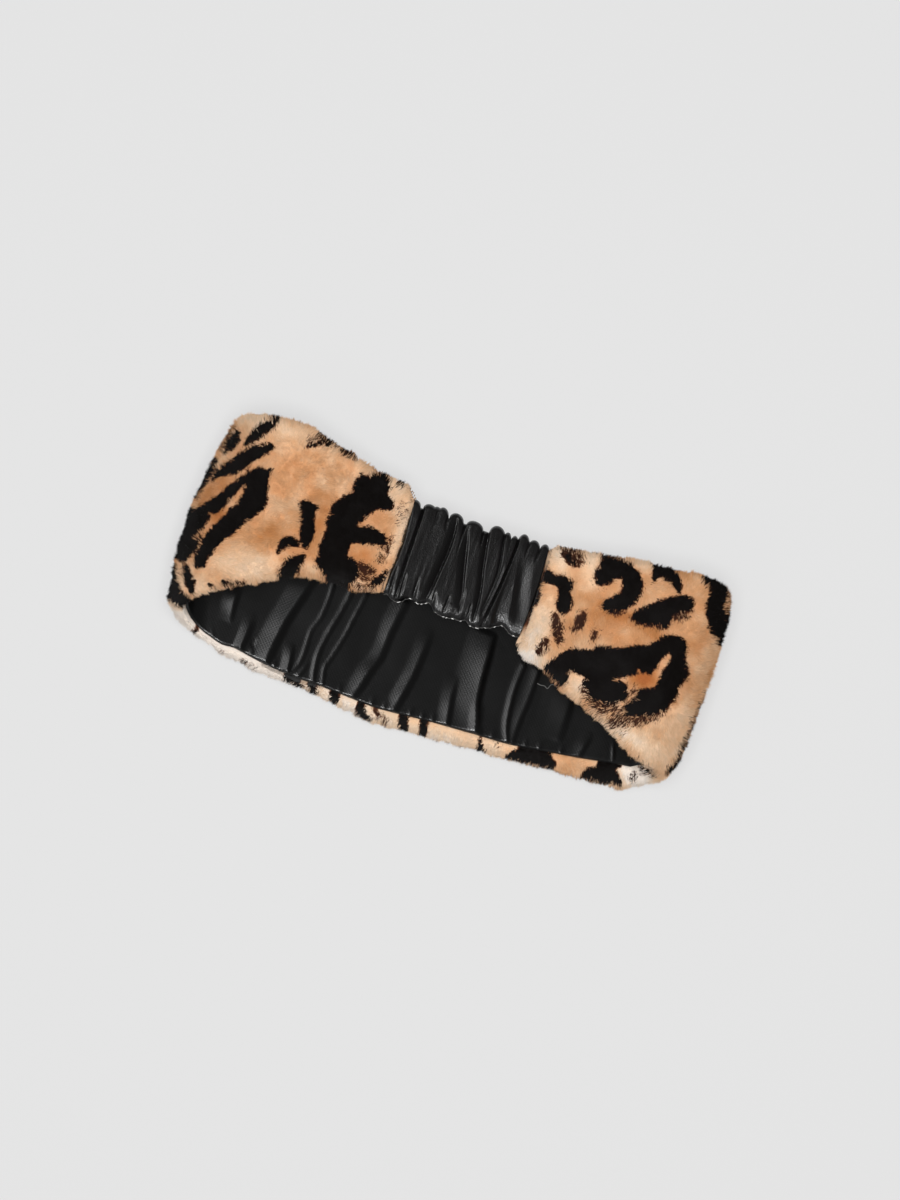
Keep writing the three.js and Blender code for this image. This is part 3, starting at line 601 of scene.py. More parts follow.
def make_mesh(name, points, faces):
    """A smooth mesh object from points in mm and rows of vertex numbers."""
    mesh = bpy.data.meshes.new(name)
    mesh.vertices.add(len(points))
    mesh.vertices.foreach_set("co", (points * MM).astype(np.float32).ravel())
    mesh.loops.add(faces.size)
    mesh.loops.foreach_set("vertex_index", faces.astype(np.int32).ravel())
    mesh.polygons.add(len(faces))
    starts = np.arange(len(faces), dtype=np.int32) * faces.shape[1]
    mesh.polygons.foreach_set("loop_start", starts)
    mesh.polygons.foreach_set("use_smooth", np.ones(len(faces), bool))
    mesh.update(calc_edges=True)
    mesh.validate()
    thing = bpy.data.objects.new(name, mesh)
    bpy.context.scene.collection.objects.link(thing)
    return thing


def add_values(thing, **values):
    """Stores one number for each vertex, or one for all of them, under each name, for the
    materials to read."""
    for name, numbers in values.items():
        layer = thing.data.attributes.new(name, "FLOAT", "POINT")
        layer.data.foreach_set("value", np.full(len(layer.data), numbers, np.float32))


skin_route = loop_route(SKIN_STEP)
skin_face, skin_out, _ = fur_face(skin_route, SKIN_ACROSS, ROLL_POINTS, TIP_HEIGHT)
# Strength and size in mm of the unevenness of the wool's body.
BODY_WAVES, BODY_TUFTS = (0.8, 24), (0.35, 4.5)
skin_uneven = BODY_WAVES[0] * lumps(skin_face, BODY_WAVES[1])
skin_uneven = skin_uneven + BODY_TUFTS[0] * tufts(skin_face, BODY_TUFTS[1])
skin_face = skin_face + skin_out * skin_uneven[..., None]
INSIDE_ACROSS = 6
inside_share = np.linspace(1, 0, INSIDE_ACROSS + 2)[None, 1:-1]
inside_low = skin_route[:, 4, None] + skin_route[:, 6, None]
inside_high = skin_route[:, 5, None] - skin_route[:, 6, None]
inside_y = inside_low + (inside_high - inside_low) * inside_share
skin_inside = place(skin_route, inside_y, np.zeros_like(inside_y))
skin_rings = np.concatenate([skin_face, skin_inside], axis=1)
skin_points, skin_triangles = closed_strip(skin_rings)
sheepskin = make_mesh("sheepskin", skin_points, skin_triangles)
ring_up = grid_normals(skin_rings)[..., 2] > 0
ring_back = np.repeat(skin_route[:, 3, None] > 0, skin_rings.shape[1], axis=1)
faces_up, faces_back = (np.append(ring.ravel(), [True] * 2) for ring in (ring_up, ring_back))
# Painted shade: the body is coloured as a lock is low down, darker than at its tip.
BODY_GRAIN, BODY_HEIGHT, BODY_HAIR = 0.6, 0.35, 0.5       # it shades as a lock does low down
skin_dark, skin_tone = pattern_at(
    skin_points, faces_back, faces_up, np.full(len(skin_points), BODY_GRAIN))
add_values(sheepskin, spot=skin_dark, warmth=skin_tone, height=BODY_HEIGHT, hair=BODY_HAIR)


def hex_colour(text):
    """sRGB hex to linear red, green, blue and alpha."""
    parts = [int(text[k:k + 2], 16) / 255 for k in (1, 3, 5)]
    linear = [c / 12.92 if c <= 0.04045 else ((c + 0.055) / 1.055) ** 2.4 for c in parts]
    return (*linear, 1)


def new_material(name):
    material = bpy.data.materials.new(name)
    material.use_nodes = True
    material.node_tree.nodes.clear()
    return material


def node(material, kind, links=None, **settings):
    """Adds a node, sets its values and links its inputs. A setting whose name is an input
    sets that socket, and any other sets the node itself."""
    made = material.node_tree.nodes.new(kind)
    for key, value in settings.items():
        if hasattr(made, key):
            setattr(made, key, value)
    for key, value in settings.items():
        if not hasattr(made, key):
            made.inputs[key.replace("_", " ")].default_value = value
    for key, source in (links or {}).items():
        material.node_tree.links.new(source, made.inputs[key])
    return made


# Sheared sheepskin wool, dyed tan and printed near black: matt, with a faint warm sheen,
# and with painted shade that darkens it towards the roots of the tufts, where light sinks in.
GROUND = [(0.0, "#e7dcd1"), (0.14, "#dfc5aa"), (0.31, "#debb99"), (0.5, "#cb9b71"),
          (0.69, "#b98050"), (0.88, "#a8683a")]     # from near white to deep orange
DYE = [(0.34, "#7a4a30"), (0.52, "#432619"), (0.72, "#0b0807")]      # brown fringe to black


def wool_material(name, root_shade, tip_shade):
    """Wool coloured by the print and warmth that its mesh carries, with painted shade towards the
    root.
    """
    wool = new_material(name)
    warmth, spot, height, hair = (
        node(wool, "ShaderNodeAttribute", attribute_name=kind).outputs["Fac"]
        for kind in ("warmth", "spot", "height", "hair"))
    place_on = node(wool, "ShaderNodeMapRange", {"Value": warmth}, From_Min=-1.3, From_Max=1.3)
    colours = []
    for source, steps in ((place_on.outputs["Result"], GROUND), (spot, DYE)):
        ramp = node(wool, "ShaderNodeValToRGB", {"Fac": source})
        for _ in steps[2:]:
            ramp.color_ramp.elements.new(0.5)
        for element, (position, colour) in zip(ramp.color_ramp.elements, steps):
            element.position, element.color = position, hex_colour(colour)
        colours.append(ramp.outputs["Color"])
    cover = node(wool, "ShaderNodeMapRange", {"Value": spot}, From_Min=0.16, From_Max=0.42)
    dyed = node(wool, "ShaderNodeMix", {"Factor": cover.outputs["Result"], "A": colours[0],
                                        "B": colours[1]}, data_type="RGBA")
    # Painted shade: the colour darkens from each lock's tip down to its root.
    depth = node(wool, "ShaderNodeMapRange", {"Value": height},
                 To_Min=root_shade, To_Max=tip_shade)
    # Each lock lighter or darker at random, and near its lightest where it carries a painted
    # highlight.
    vary = node(wool, "ShaderNodeMapRange", {"Value": hair}, To_Min=0.82, To_Max=1.12)
    shading = node(wool, "ShaderNodeMath", {0: depth.outputs["Result"],
                                            1: vary.outputs["Result"]}, operation="MULTIPLY")
    shade = node(wool, "ShaderNodeVectorMath", {0: dyed.outputs["Result"],
                                                "Scale": shading.outputs["Value"]},
                 operation="SCALE")
    surface = node(wool, "ShaderNodeBsdfPrincipled", {"Base Color": shade.outputs["Vector"]},
                   Roughness=0.8, IOR=1.55, Specular_IOR_Level=0.12, Sheen_Weight=0.08,
                   Sheen_Roughness=0.5)
    node(wool, "ShaderNodeOutputMaterial", {"Surface": surface.outputs["BSDF"]})
    return wool


sheepskin.data.materials.append(
    wool_material("sheared_wool_body", root_shade=0.8, tip_shade=0.95))
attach(sheepskin, "root")
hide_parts("shearling_band")

# ---- Pile --------------------------------------------------------------------------------
# The sheared tips of the wool, millions on the real skin, drawn as fewer and thicker
# tapered locks. They gather in small tufts, swirl a little, and lean out over the edges.
LOCKS = 200000
TUFTS = 14000
LOCK_PIECES = 4
LOCK_WIDTH = 0.7              # wool fibres are 0.03 mm, so each lock stands for a bundle
LOCK_LENGTH = 3.9
LOCK_ROOT = 1.2               # how deep a lock is rooted in the body of the wool
LEAN = 0.75                   # sideways lean for each unit of height
UNDERSIDE_SHARE = 0.12        # density where the front lies on the floor
FACING_FLOOR = -0.92          # the most that the outward direction rises there
FLOOR_BAND = 8                # and the most that the pile's base stands above the floor
SIDE_GLOW = 2.0               # wool lets light through: how far its sides shade as if upward
PILE_STEP = 1.0               # mm from station to station of the grid that locks grow on
PILE_ACROSS = 96              # rows of that grid over the pile's face
PILE_ROLL = 18                # and round each rolled edge
EDGE_REACH = 16               # rows from an edge over which the locks lean out past it
SEAM_REACH = 2.2              # rows from the lining over which they lean back over its seam
OUT_LEAN, BACK_LEAN = 0.9, 1.6
WIND, WIND_SIZE = 0.9, 24     # strength and size in mm of the broad swirls
CURL, CURL_SIZE = 0.7, 6      # and of the small ones
NAP = -0.25                   # all lean a little backwards along the loop
COMB_REACH = 4                # mm from the leather over which they stand up straight
COMBED_RIGHT = 0.3            # how far they do so at the right seam
STRAIGHTENED, SHORTENED = 0.8, 0.35   # and by how much they lean less and are shorter
UNEVEN_LEAN, UNEVEN_LENGTH, STRAY = 0.25, 0.14, 0.16
PATCH_LENGTH, PATCH_SIZE = 0.24, 2.2
PULL = (0.15, 0.5)            # how far a lock bends to the tip of its tuft
THICKNESS = (0.7, 1.2)        # of the width above
ROUNDNESS, TIP_ROUNDNESS = 0.35, 0.3
LOWEST_LOCK = 0.15            # above the floor
NO_GLOW = -0.8                # locks that face farther down than this don't glow
SHOWN = (0.05, 1.2)           # share of its length at which a lock takes its colour
SHOWN_PULL, SHOWN_STRAY = 0.35, 0.2
TUFT_GRAIN, OWN_GRAIN = 0.25, 0.75
# Painted highlights: a few locks are coloured near their lightest, to stand for glints of light.
GLINT_ABOVE, GLINT_LIFT = 0.985, 0.9        # one lock in 67 is pale and catches the light
TUFT_WARMTH = 0.1
# mm to the part of a noise that each use of it reads
WIND_UP_AT, WIND_ALONG_AT, CURL_UP_AT, CURL_ALONG_AT, PATCH_AT = 300, 700, 90, -70, 500
PILE_SEED = 41
pile_draw = np.random.default_rng(PILE_SEED)

pile_route = loop_route(PILE_STEP)
pile_form, pile_normal, pile_tips = fur_face(
    pile_route, PILE_ACROSS, PILE_ROLL, TIP_HEIGHT, LOCK_ROOT)
pile_along = unit(np.gradient(pile_tips, axis=0))
cell_area = np.linalg.norm(np.cross(
    pile_tips[1:, :-1] - pile_tips[:-1, :-1], pile_tips[:-1, 1:] - pile_tips[:-1, :-1]), axis=-1)
on_floor = (pile_normal[:-1, :-1, 2] < FACING_FLOOR) & (pile_form[:-1, :-1, 2] < FLOOR_BAND)
cell_weight = cell_area * np.where(on_floor, UNDERSIDE_SHARE, 1)
chances = (cell_weight / cell_weight.sum()).ravel()
cells = np.sort(pile_draw.choice(len(chances), LOCKS, p=chances))
cell_i, cell_j = np.divmod(cells, pile_form.shape[1] - 1)
part_i, part_j = pile_draw.uniform(0, 1, (2, LOCKS, 1))


def on_grid(grid):
    """Values of a grid at each lock's root."""
    low = grid[cell_i, cell_j] * (1 - part_j) + grid[cell_i, cell_j + 1] * part_j
    high = grid[cell_i + 1, cell_j] * (1 - part_j) + grid[cell_i + 1, cell_j + 1] * part_j
    return low * (1 - part_i) + high * part_i


roots = on_grid(pile_form)
normals = unit(on_grid(pile_normal))
along = on_grid(pile_along)
across = np.cross(along, normals)             # towards the high edge
column = cell_j + part_j[:, 0]
edge_column = (PILE_ROLL - 1) / 2
past_low = (column - edge_column) / EDGE_REACH
past_high = (pile_form.shape[1] - 1 - edge_column - column) / EDGE_REACH
from_lining = np.minimum(column, pile_form.shape[1] - 1 - column)
over_seam = np.exp(-(from_lining / SEAM_REACH) ** 2)
outward = (np.sign(past_high) * np.exp(-past_high ** 2)
           - np.sign(past_low) * np.exp(-past_low ** 2)) * (1 - BACK_LEAN * over_seam)
swirl_up = WIND * lumps(roots + WIND_UP_AT, WIND_SIZE)
swirl_up = swirl_up + CURL * tufts(roots + CURL_UP_AT, CURL_SIZE)
swirl_along = NAP + WIND * lumps(roots + WIND_ALONG_AT, WIND_SIZE)
swirl_along = swirl_along + CURL * tufts(roots + CURL_ALONG_AT, CURL_SIZE)
lean = across * (OUT_LEAN * outward + swirl_up)[:, None] + along * swirl_along[:, None]
from_seam = pile_route[cell_i, 7]
near_seam = (1 - smooth(from_seam / COMB_REACH)) * np.where(roots[:, 0] < 0, 1, COMBED_RIGHT)


def spread():
    """A draw from a bell curve for each lock, within twice its width."""
    return pile_draw.normal(0, 1, LOCKS).clip(-2, 2)


lean_by = LEAN * (1 + UNEVEN_LEAN * spread()) * (1 - STRAIGHTENED * near_seam)
direction = unit(normals + lean * lean_by[:, None] + STRAY * pile_draw.normal(0, 1, (LOCKS, 3)))
length = LOCK_LENGTH * (1 + UNEVEN_LENGTH * spread())
length = length * (1 + PATCH_LENGTH * tufts(roots + PATCH_AT, PATCH_SIZE))
length = length * (1 - SHORTENED * near_seam)
grown = trimmed(pile_form.shape[1], PILE_ROLL)[cell_j]
length = length * (LOCK_ROOT + TIP_HEIGHT * grown) / (LOCK_ROOT + TIP_HEIGHT)
tips = roots + direction * length[:, None]

# Each lock bends towards the middle of its tuft and takes part of its colour there.
tuft_locks = pile_draw.choice(LOCKS, TUFTS, replace=False)
tuft_tree = KDTree(TUFTS)
for number, root in enumerate(roots[tuft_locks]):
    tuft_tree.insert(root, number)
tuft_tree.balance()
tuft_of = np.array([tuft_tree.find(root)[1] for root in roots])
tuft_tips = tips[tuft_locks][tuft_of]
pull = pile_draw.uniform(*PULL, (LOCKS, 1))
tips = tips + (tuft_tips - tips) * pull
direction = unit(tips - roots)
side = unit(np.cross(direction, normals))
other = np.cross(direction, side)
half = (LOCK_WIDTH / 2 * pile_draw.uniform(*THICKNESS, LOCKS))[:, None]
angle_starts = pile_draw.uniform(0, 2 * math.pi, LOCKS)
corners, corner_normals = [], []
for turn in range(3):
    angle = (angle_starts + turn * 2 * math.pi / 3)[:, None]
    spoke = side * np.cos(angle) + other * np.sin(angle)
    corners.append(roots + spoke * half)
    corner_normals.append(normals + ROUNDNESS * spoke)
corners.append(tips)
corner_normals.append(normals + TIP_ROUNDNESS * direction)
lock_points = np.stack(corners, axis=1)
lock_points[..., 2] = np.maximum(lock_points[..., 2], LOWEST_LOCK)
lock_normals = np.stack(corner_normals, axis=1)
rise = normals[:, 2, None]
lock_normals[..., 2] += SIDE_GLOW * (1 - np.abs(rise)) * (rise > NO_GLOW)
lock_normals = unit(lock_normals)
shown_at = roots + (tips - roots) * pile_draw.uniform(*SHOWN, (LOCKS, 1))
shown_at = shown_at + SHOWN_PULL * (tuft_tips - shown_at)
shown_at = shown_at + SHOWN_STRAY * pile_draw.normal(0, 1, (LOCKS, 3))
own_shade = pile_draw.uniform(0, 1, LOCKS)
tuft_shade = pile_draw.uniform(0, 1, TUFTS)[tuft_of]
lock_grain = OWN_GRAIN * pile_draw.uniform(0, 1, LOCKS) + TUFT_GRAIN * tuft_shade
lock_dark, lock_tone = pattern_at(
    shown_at, pile_route[cell_i, 3] > 0, normals[:, 2] > 0, lock_grain)
glinting = pile_draw.uniform(0, 1, LOCKS) > GLINT_ABOVE
# Each lock's hair value: a random tone, plus the painted highlight on the glinting locks.
lock_tone_and_glint = 0.5 * own_shade + 0.5 * tuft_shade + GLINT_LIFT * glinting
lock_tone = lock_tone + TUFT_WARMTH * (tuft_shade - 0.5)
pile_material = wool_material("sheared_wool_tips", root_shade=0.78, tip_shade=1.0)


def bake_cells(mesh, count):
    """Gives each triangle its own small square of a map, for baking the wool."""
    squares = math.ceil(math.sqrt(count))
    column_at, row_at = np.arange(count) % squares, np.arange(count) // squares
    margin = 0.12
    inside = np.array([(margin, margin), (1 - margin, margin), (margin, 1 - margin)])
    uv = (np.stack([column_at, row_at], axis=1)[:, None, :] + inside[None]) / squares
    layer = mesh.uv_layers.new(name="OFBake")
    layer.data.foreach_set("uv", uv.astype(np.float32).ravel())


for piece in range(LOCK_PIECES):
    chosen = slice(piece * LOCKS // LOCK_PIECES, (piece + 1) * LOCKS // LOCK_PIECES)
    points = lock_points[chosen].reshape(-1, 3)
    count = len(points) // 4
    corner_rows = np.array([[0, 1, 3], [1, 2, 3], [2, 0, 3]])
    lock_faces = (np.arange(count)[:, None, None] * 4 + corner_rows[None]).reshape(-1, 3)
    pile = make_mesh(f"pile_{piece + 1}", points, lock_faces)
    pile.data.normals_split_custom_set_from_vertices(lock_normals[chosen].reshape(-1, 3))
    bake_cells(pile.data, len(lock_faces))
    # height runs from 0 at a lock's root to 1 at its tip, for the painted shade; hair carries the
    # painted highlights.
    add_values(pile, spot=np.repeat(lock_dark[chosen], 4), hair=np.repeat(lock_tone_and_glint[chosen], 4),
               warmth=np.repeat(lock_tone[chosen], 4), height=np.tile([0, 0, 0, 1], count))
    pile.data.materials.append(pile_material)
    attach(pile, "root")
    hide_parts("shearling_band")

# ---- Satin lining ------------------------------------------------------------------------
# Black polyester lining satin, cut a little longer than the skin, so it stands in upright
# folds on the front. It is sewn to the skin along both edges, inside the rolled wool.
GAP = 0.4
LINING_DEPTH = 1.2            # the satin with its thin interlining
LINING_FRONT_STEP = 0.8
LINING_STEP = 3
LINING_LOW_ROWS = 66
LINING_HIGH_ROWS = 12
LOW_SHARE = 0.62              # how far up the front the fine rows run
SATIN_SAG, SAG_SIZE = 0.35, (14, 40, 10)      # broad unevenness between the folds
SATIN_WAVES, WAVES_SIZE = 0.15, 11            # and all over the satin
FLANK_CURVE = 1.3             # how hollow the left flank of a fold is
CREST_EASE = 3                # over which a crest ends
PUCKER_HEIGHT, PUCKER_WIDTH, PUCKER_LENGTH = 0.55, 1.3, 7
PUCKER_SPREAD = 0.12          # how much wider a pucker grows for each mm up from the seam
FOLDS_PAST, FOLDS_EASE = 4, 12        # past the end folds' start, and over what distance
# Share of a fold's height that is left at the seam, the rest, and over what distance.
SEAM_FLAT, SEAM_REST, SEAM_FLAT_REACH = 0.35, 0.65, 2
TURNED_IN = 0.8               # radius of the turned-in edge
DEEPEST = -0.25               # below the flat satin
UNDER_GAP, UNDER_SHARE = 0.9, 0.6     # how the under face follows the gap and the folds
HAIRLINE = 0.01               # a station this near to the front's height lies on the front
# Each fold: width of its left flank, width of its right flank, and points down its crest
# as x, y and height. Broad flanks catch the light as soft bands, and narrow ones as lines.
LINING_FOLDS = {
    "first shadow": (8, 3, [(-102, -22, 0.6), (-102.6, -30, 1.6), (-102.6, -40, 0.5)]),
    "first pucker": (6, 3.4, [(-89.6, -36, 0.2), (-90, -44, 1.4), (-91, -52, 1.5)]),
    "broad left": (9, 4, [(-68, -6, 2.0), (-70.6, -18, 2.5), (-73.4, -30, 2.7), (-74.8, -40, 2.6),
        (-75.8, -50, 2.3), (-76, -56, 1.2)]),
    "left cone": (5, 1.6, [(-65.4, -41, 0), (-64.6, -48, 1.3), (-63.6, -56, 1.8)]),
    "first line": (2.2, 1.2, [(-56.8, -6, 0.6), (-56.4, -14, 0.7), (-57, -24, 0.7),
        (-59.2, -32, 0.6), (-59, -40, 0.7), (-59.2, -49, 0.7), (-61.6, -55, 0.5)]),
    "small cone": (2.6, 1.2, [(-54.8, -47, 0), (-56, -51, 0.6), (-58, -56, 0.9)]),
    "second line": (2.6, 1.4, [(-46.8, -6, 0.8), (-48.4, -18, 0.9), (-50.6, -29, 0.9),
        (-52, -41, 1), (-51.2, -50, 0.9), (-49.8, -56, 0.6)]),
    "third line": (2.2, 1.2, [(-39.4, -6, 0.6), (-41.4, -20, 0.8), (-42.6, -29, 0.8),
        (-45.2, -41, 0.8), (-46.6, -47, 0.7), (-45, -55, 0.5)]),
    "hook": (1.5, 1.1, [(-47, -48.2, 0.3), (-45, -47.8, 0.5), (-42.8, -46.6, 0)]),
    "middle left": (7, 3.6, [(-20.4, -3, 1.2), (-21.6, -12, 1.6), (-22.4, -20, 1.5),
        (-22.6, -27, 1.3), (-23, -33, 1.7), (-25.4, -41, 2.1), (-27.4, -50, 1.8), (-29.4, -56, 1)]),
    "middle": (6, 3.4, [(-3, -10, 0), (-3.4, -20, 1.0), (-4.2, -36, 1.6), (-6, -47, 1.8),
        (-7.6, -56, 0.9)]),
    "middle right": (14, 3, [(27, -4, 1.5), (28, -14, 2.8), (29, -26, 3.1), (30.4, -36, 2.6),
        (33, -45, 1.8), (35.4, -54, 0.8)]),
    "middle right, left crest": (6, 2.4, [(16.6, -28, 0), (17.6, -38, 1.0), (19, -46, 1.5),
        (20.4, -54, 1.0)]),
    "middle right, near crest": (5, 3, [(33, -36, 0), (34, -44, 0.8), (36, -52, 0.6)]),
    "right pair, left": (3.6, 1.6, [(47, -12, 1), (46.6, -24, 1.2), (47.4, -34, 1.2),
        (49.2, -44, 1.1), (52, -51, 0.6)]),
    "right pair, right": (5, 2.4, [(54.4, -12, 0.9), (54.6, -26, 1.1), (54, -38, 1.1),
        (54, -49, 0.7)]),
    "far right": (9, 4, [(74, -20, 0.7), (74.6, -28, 1.0), (75, -40, 0.5)]),
    "end pucker": (6, 2.4, [(90, -34, 0.3), (89, -40, 1.0), (87.6, -46, 0.5)]),
    "end crease": (1.8, 1.2, [(103.4, -34, 0.3), (105, -38, 0.6), (106.6, -42, 0.3)]),
}
LINING_PUCKERS = [-112, -84, -71, -36, -18.5, -12, 1.5, 7.6, 13, 37.6, 44, 61, 68, 79]


def crest_line(points, y):
    """A crest's x and height at each y, and nothing past its two ends."""
    rows = np.array([(-point[1], point[0], point[2]) for point in points], float)
    down = np.ravel(-y)
    found = look_up(rows, down)
    ease = (smooth((down - rows[0, 0] + CREST_EASE) / CREST_EASE)
            * smooth((rows[-1, 0] + CREST_EASE - down) / CREST_EASE))
    return found[:, 0].reshape(y.shape), (found[:, 1] * ease).reshape(y.shape)


def lining_rise(x, y):
    """Height of the folds over the flat satin at each place on the front."""
    rise = SATIN_SAG * lumps(np.stack([x, y, 0 * x], axis=-1), SAG_SIZE)
    for left, right, points in LINING_FOLDS.values():
        crest_x, height = crest_line(points, y)
        flank = np.clip(1 - (crest_x - x) / left, 0, 1) ** FLANK_CURVE
        drop = 1 - smooth((x - crest_x) / right)
        rise = rise + height * np.where(x < crest_x, flank, drop)
    for pucker_x in LINING_PUCKERS:
        low = look_up(FRONT, np.array([pucker_x]))[0]
        up_from_seam = y - (low[0] + low[2])
        wider = 1 + PUCKER_SPREAD * np.clip(up_from_seam, 0, None)
        away = np.abs(x - pucker_x) / (PUCKER_WIDTH * wider)
        beside = 1 - smooth(up_from_seam / PUCKER_LENGTH)
        rise = rise + PUCKER_HEIGHT * (1 - smooth(away)) * beside
    return rise


lining_route = loop_route(LINING_STEP, LINING_FRONT_STEP)
lining_low = (lining_route[:, 4] + lining_route[:, 6] + GAP)[:, None]
lining_high = (lining_route[:, 5] - lining_route[:, 6] - GAP)[:, None]
lining_share = np.concatenate([
    np.linspace(0, LOW_SHARE, LINING_LOW_ROWS),
    np.linspace(LOW_SHARE, 1, LINING_HIGH_ROWS + 1)[1:]])[None, :]
lining_y = lining_low + (lining_high - lining_low) * lining_share
on_front = (lining_route[:, 1] < FUR_DEPTH + HAIRLINE)[:, None]
to_fold = smooth((FOLD_X + FOLDS_PAST - np.abs(lining_route[:, 0])) / FOLDS_EASE)[:, None]
from_edge = np.minimum(lining_y - lining_low, lining_high - lining_y)
flat_x = np.broadcast_to(lining_route[:, 0, None], lining_y.shape)
by_seam = SEAM_FLAT + SEAM_REST * smooth(from_edge / SEAM_FLAT_REACH)
folds = lining_rise(flat_x, lining_y) * on_front * to_fold * by_seam
flat_places = np.stack([flat_x, lining_y, 0 * flat_x], axis=-1)
folds = np.maximum(folds + SATIN_WAVES * lumps(flat_places, WAVES_SIZE), DEEPEST)


def rounded(from_edge, radius):
    """Share of a sheet's thickness that far from an edge rounded to that radius."""
    return np.sqrt(np.clip(1 - (1 - np.clip(from_edge / radius, 0, 1)) ** 2, 0, 1))


turned_edge = rounded(from_edge, TURNED_IN)
satin_face = place(lining_route, lining_y, -GAP - LINING_DEPTH * turned_edge - folds * turned_edge)
raised_under = UNDER_SHARE * np.maximum(folds, 0) * turned_edge
satin_under = place(lining_route, lining_y, -GAP * UNDER_GAP - raised_under)
lining_rings = np.concatenate([satin_face[:, ::-1], satin_under], axis=1)
lining_points, lining_triangles = closed_strip(lining_rings)
lining = make_mesh("satin_lining", lining_points, lining_triangles)

# Black polyester satin in a fine twill: close to black where it lies flat, with soft grey
# bands where a fold turns to the light. The 0.2 mm twill is drawn at 1.3 mm so it shows.
TWILL_SPACING = 1.3
WAVE_SPACING = 2 * math.pi / 20       # of a wave texture's bands at scale 1
satin = new_material("black_lining_satin")
satin_at = node(satin, "ShaderNodeTexCoord")
weave = []
for tilt in (45, -45):
    turned = node(satin, "ShaderNodeMapping", {"Vector": satin_at.outputs["Object"]},
                  Rotation=(0, 0, math.radians(tilt)))
    wave = node(satin, "ShaderNodeTexWave", {"Vector": turned.outputs["Vector"]},
                Scale=WAVE_SPACING / (TWILL_SPACING * MM))
    weave.append(wave.outputs["Fac"])
crossed = node(satin, "ShaderNodeMath", {0: weave[0], 1: weave[1]}, operation="MULTIPLY")
satin_bump = node(satin, "ShaderNodeBump", {"Height": crossed.outputs["Value"]},
                  Strength=0.25, Distance=0.15 * MM)
satin_surface = node(satin, "ShaderNodeBsdfPrincipled", {"Normal": satin_bump.outputs["Normal"]},
                     Base_Color=hex_colour("#090909"), Roughness=0.33, IOR=1.5,
                     Specular_IOR_Level=0.3)
node(satin, "ShaderNodeOutputMaterial", {"Surface": satin_surface.outputs["BSDF"]})
lining.data.materials.append(satin)
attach(lining, "root")
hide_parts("lining")

# ---- Gathered leather back ---------------------------------------------------------------
# A short casing of thin black nappa, drawn up over an elastic into upright pleats. Its top
# edge is a fold with a round head on each pleat, and its lower edge is stitched shut.
LEATHER_LIFT = 0.6            # of the casing's underside over the band's back
LEATHER_PUFF = 6.1            # height of the pleats over the casing's underside
LEATHER_COLUMNS = 240
LEATHER_ROWS = 92
LEATHER_EDGE = 2.2            # radius of the folded top and bottom edges
LEATHER_BASE = 1.2            # least height of the face over the underside
HEM_START = 0.6
HEM_DROP, HEM_REACH = 2.4, 7  # how far and how soon the pleats sink to the stitching
TOP_DROP, TOP_REACH = 0.7, 9  # and to the folded top edge
BROAD_VALLEY = 8              # a valley wider than this is round, and others are creases
CREASE_CURVE = 1.7
WRINKLES, WRINKLE_SIZE = 0.1, (1.6, 14, 10)   # fine upright wrinkles between the pleats
SLACK, SLACK_SIZE = 0.16, (5, 26, 10)
MIDDLE_Y, TOP_Y = 20, 46      # heights at which the hem and the heads are set out
UNDER_STEP = 6                # the underside has one row for this many of the face's
# x at the hem, then y there
HEM = [
    (-33, -2.7), (-30, -1.7), (-28, -2), (-25, -3.6), (-22, -2.8), (-20, -0.6), (-17, 0.4),
    (-14, -0.8), (-11, 0.2), (-9, 1.4), (-6, 0.2), (-4, -1.8), (-1, -2.6), (2, -2.5), (6, -1.7),
    (9, -1.7), (11, -0.5), (13, -1.3), (15, -2.4), (18, -2.2), (21, -0.9), (24, 0), (27, 2),
    (29.5, 3.1), (32, 2.2), (34, 0.8), (36, 0.4), (40, 0.6),
]
# x of each pleat's head, half its width, and its top
HEADS = [
    (-31.6, 2.6, 47.6), (-24, 3.8, 47.9), (-20.4, 2.6, 48), (-17.2, 3, 48.7), (-10, 3.8, 48.2),
    (-0.2, 4.4, 47.6), (11.6, 4.2, 49.3), (17, 2, 48), (20.8, 1.8, 47.6),
    (25.4, 3.2, 50), (31, 3.2, 48.9), (36.6, 2.6, 48.8),
]
NOTCH_Y = 44.6                # casing's top edge between two heads
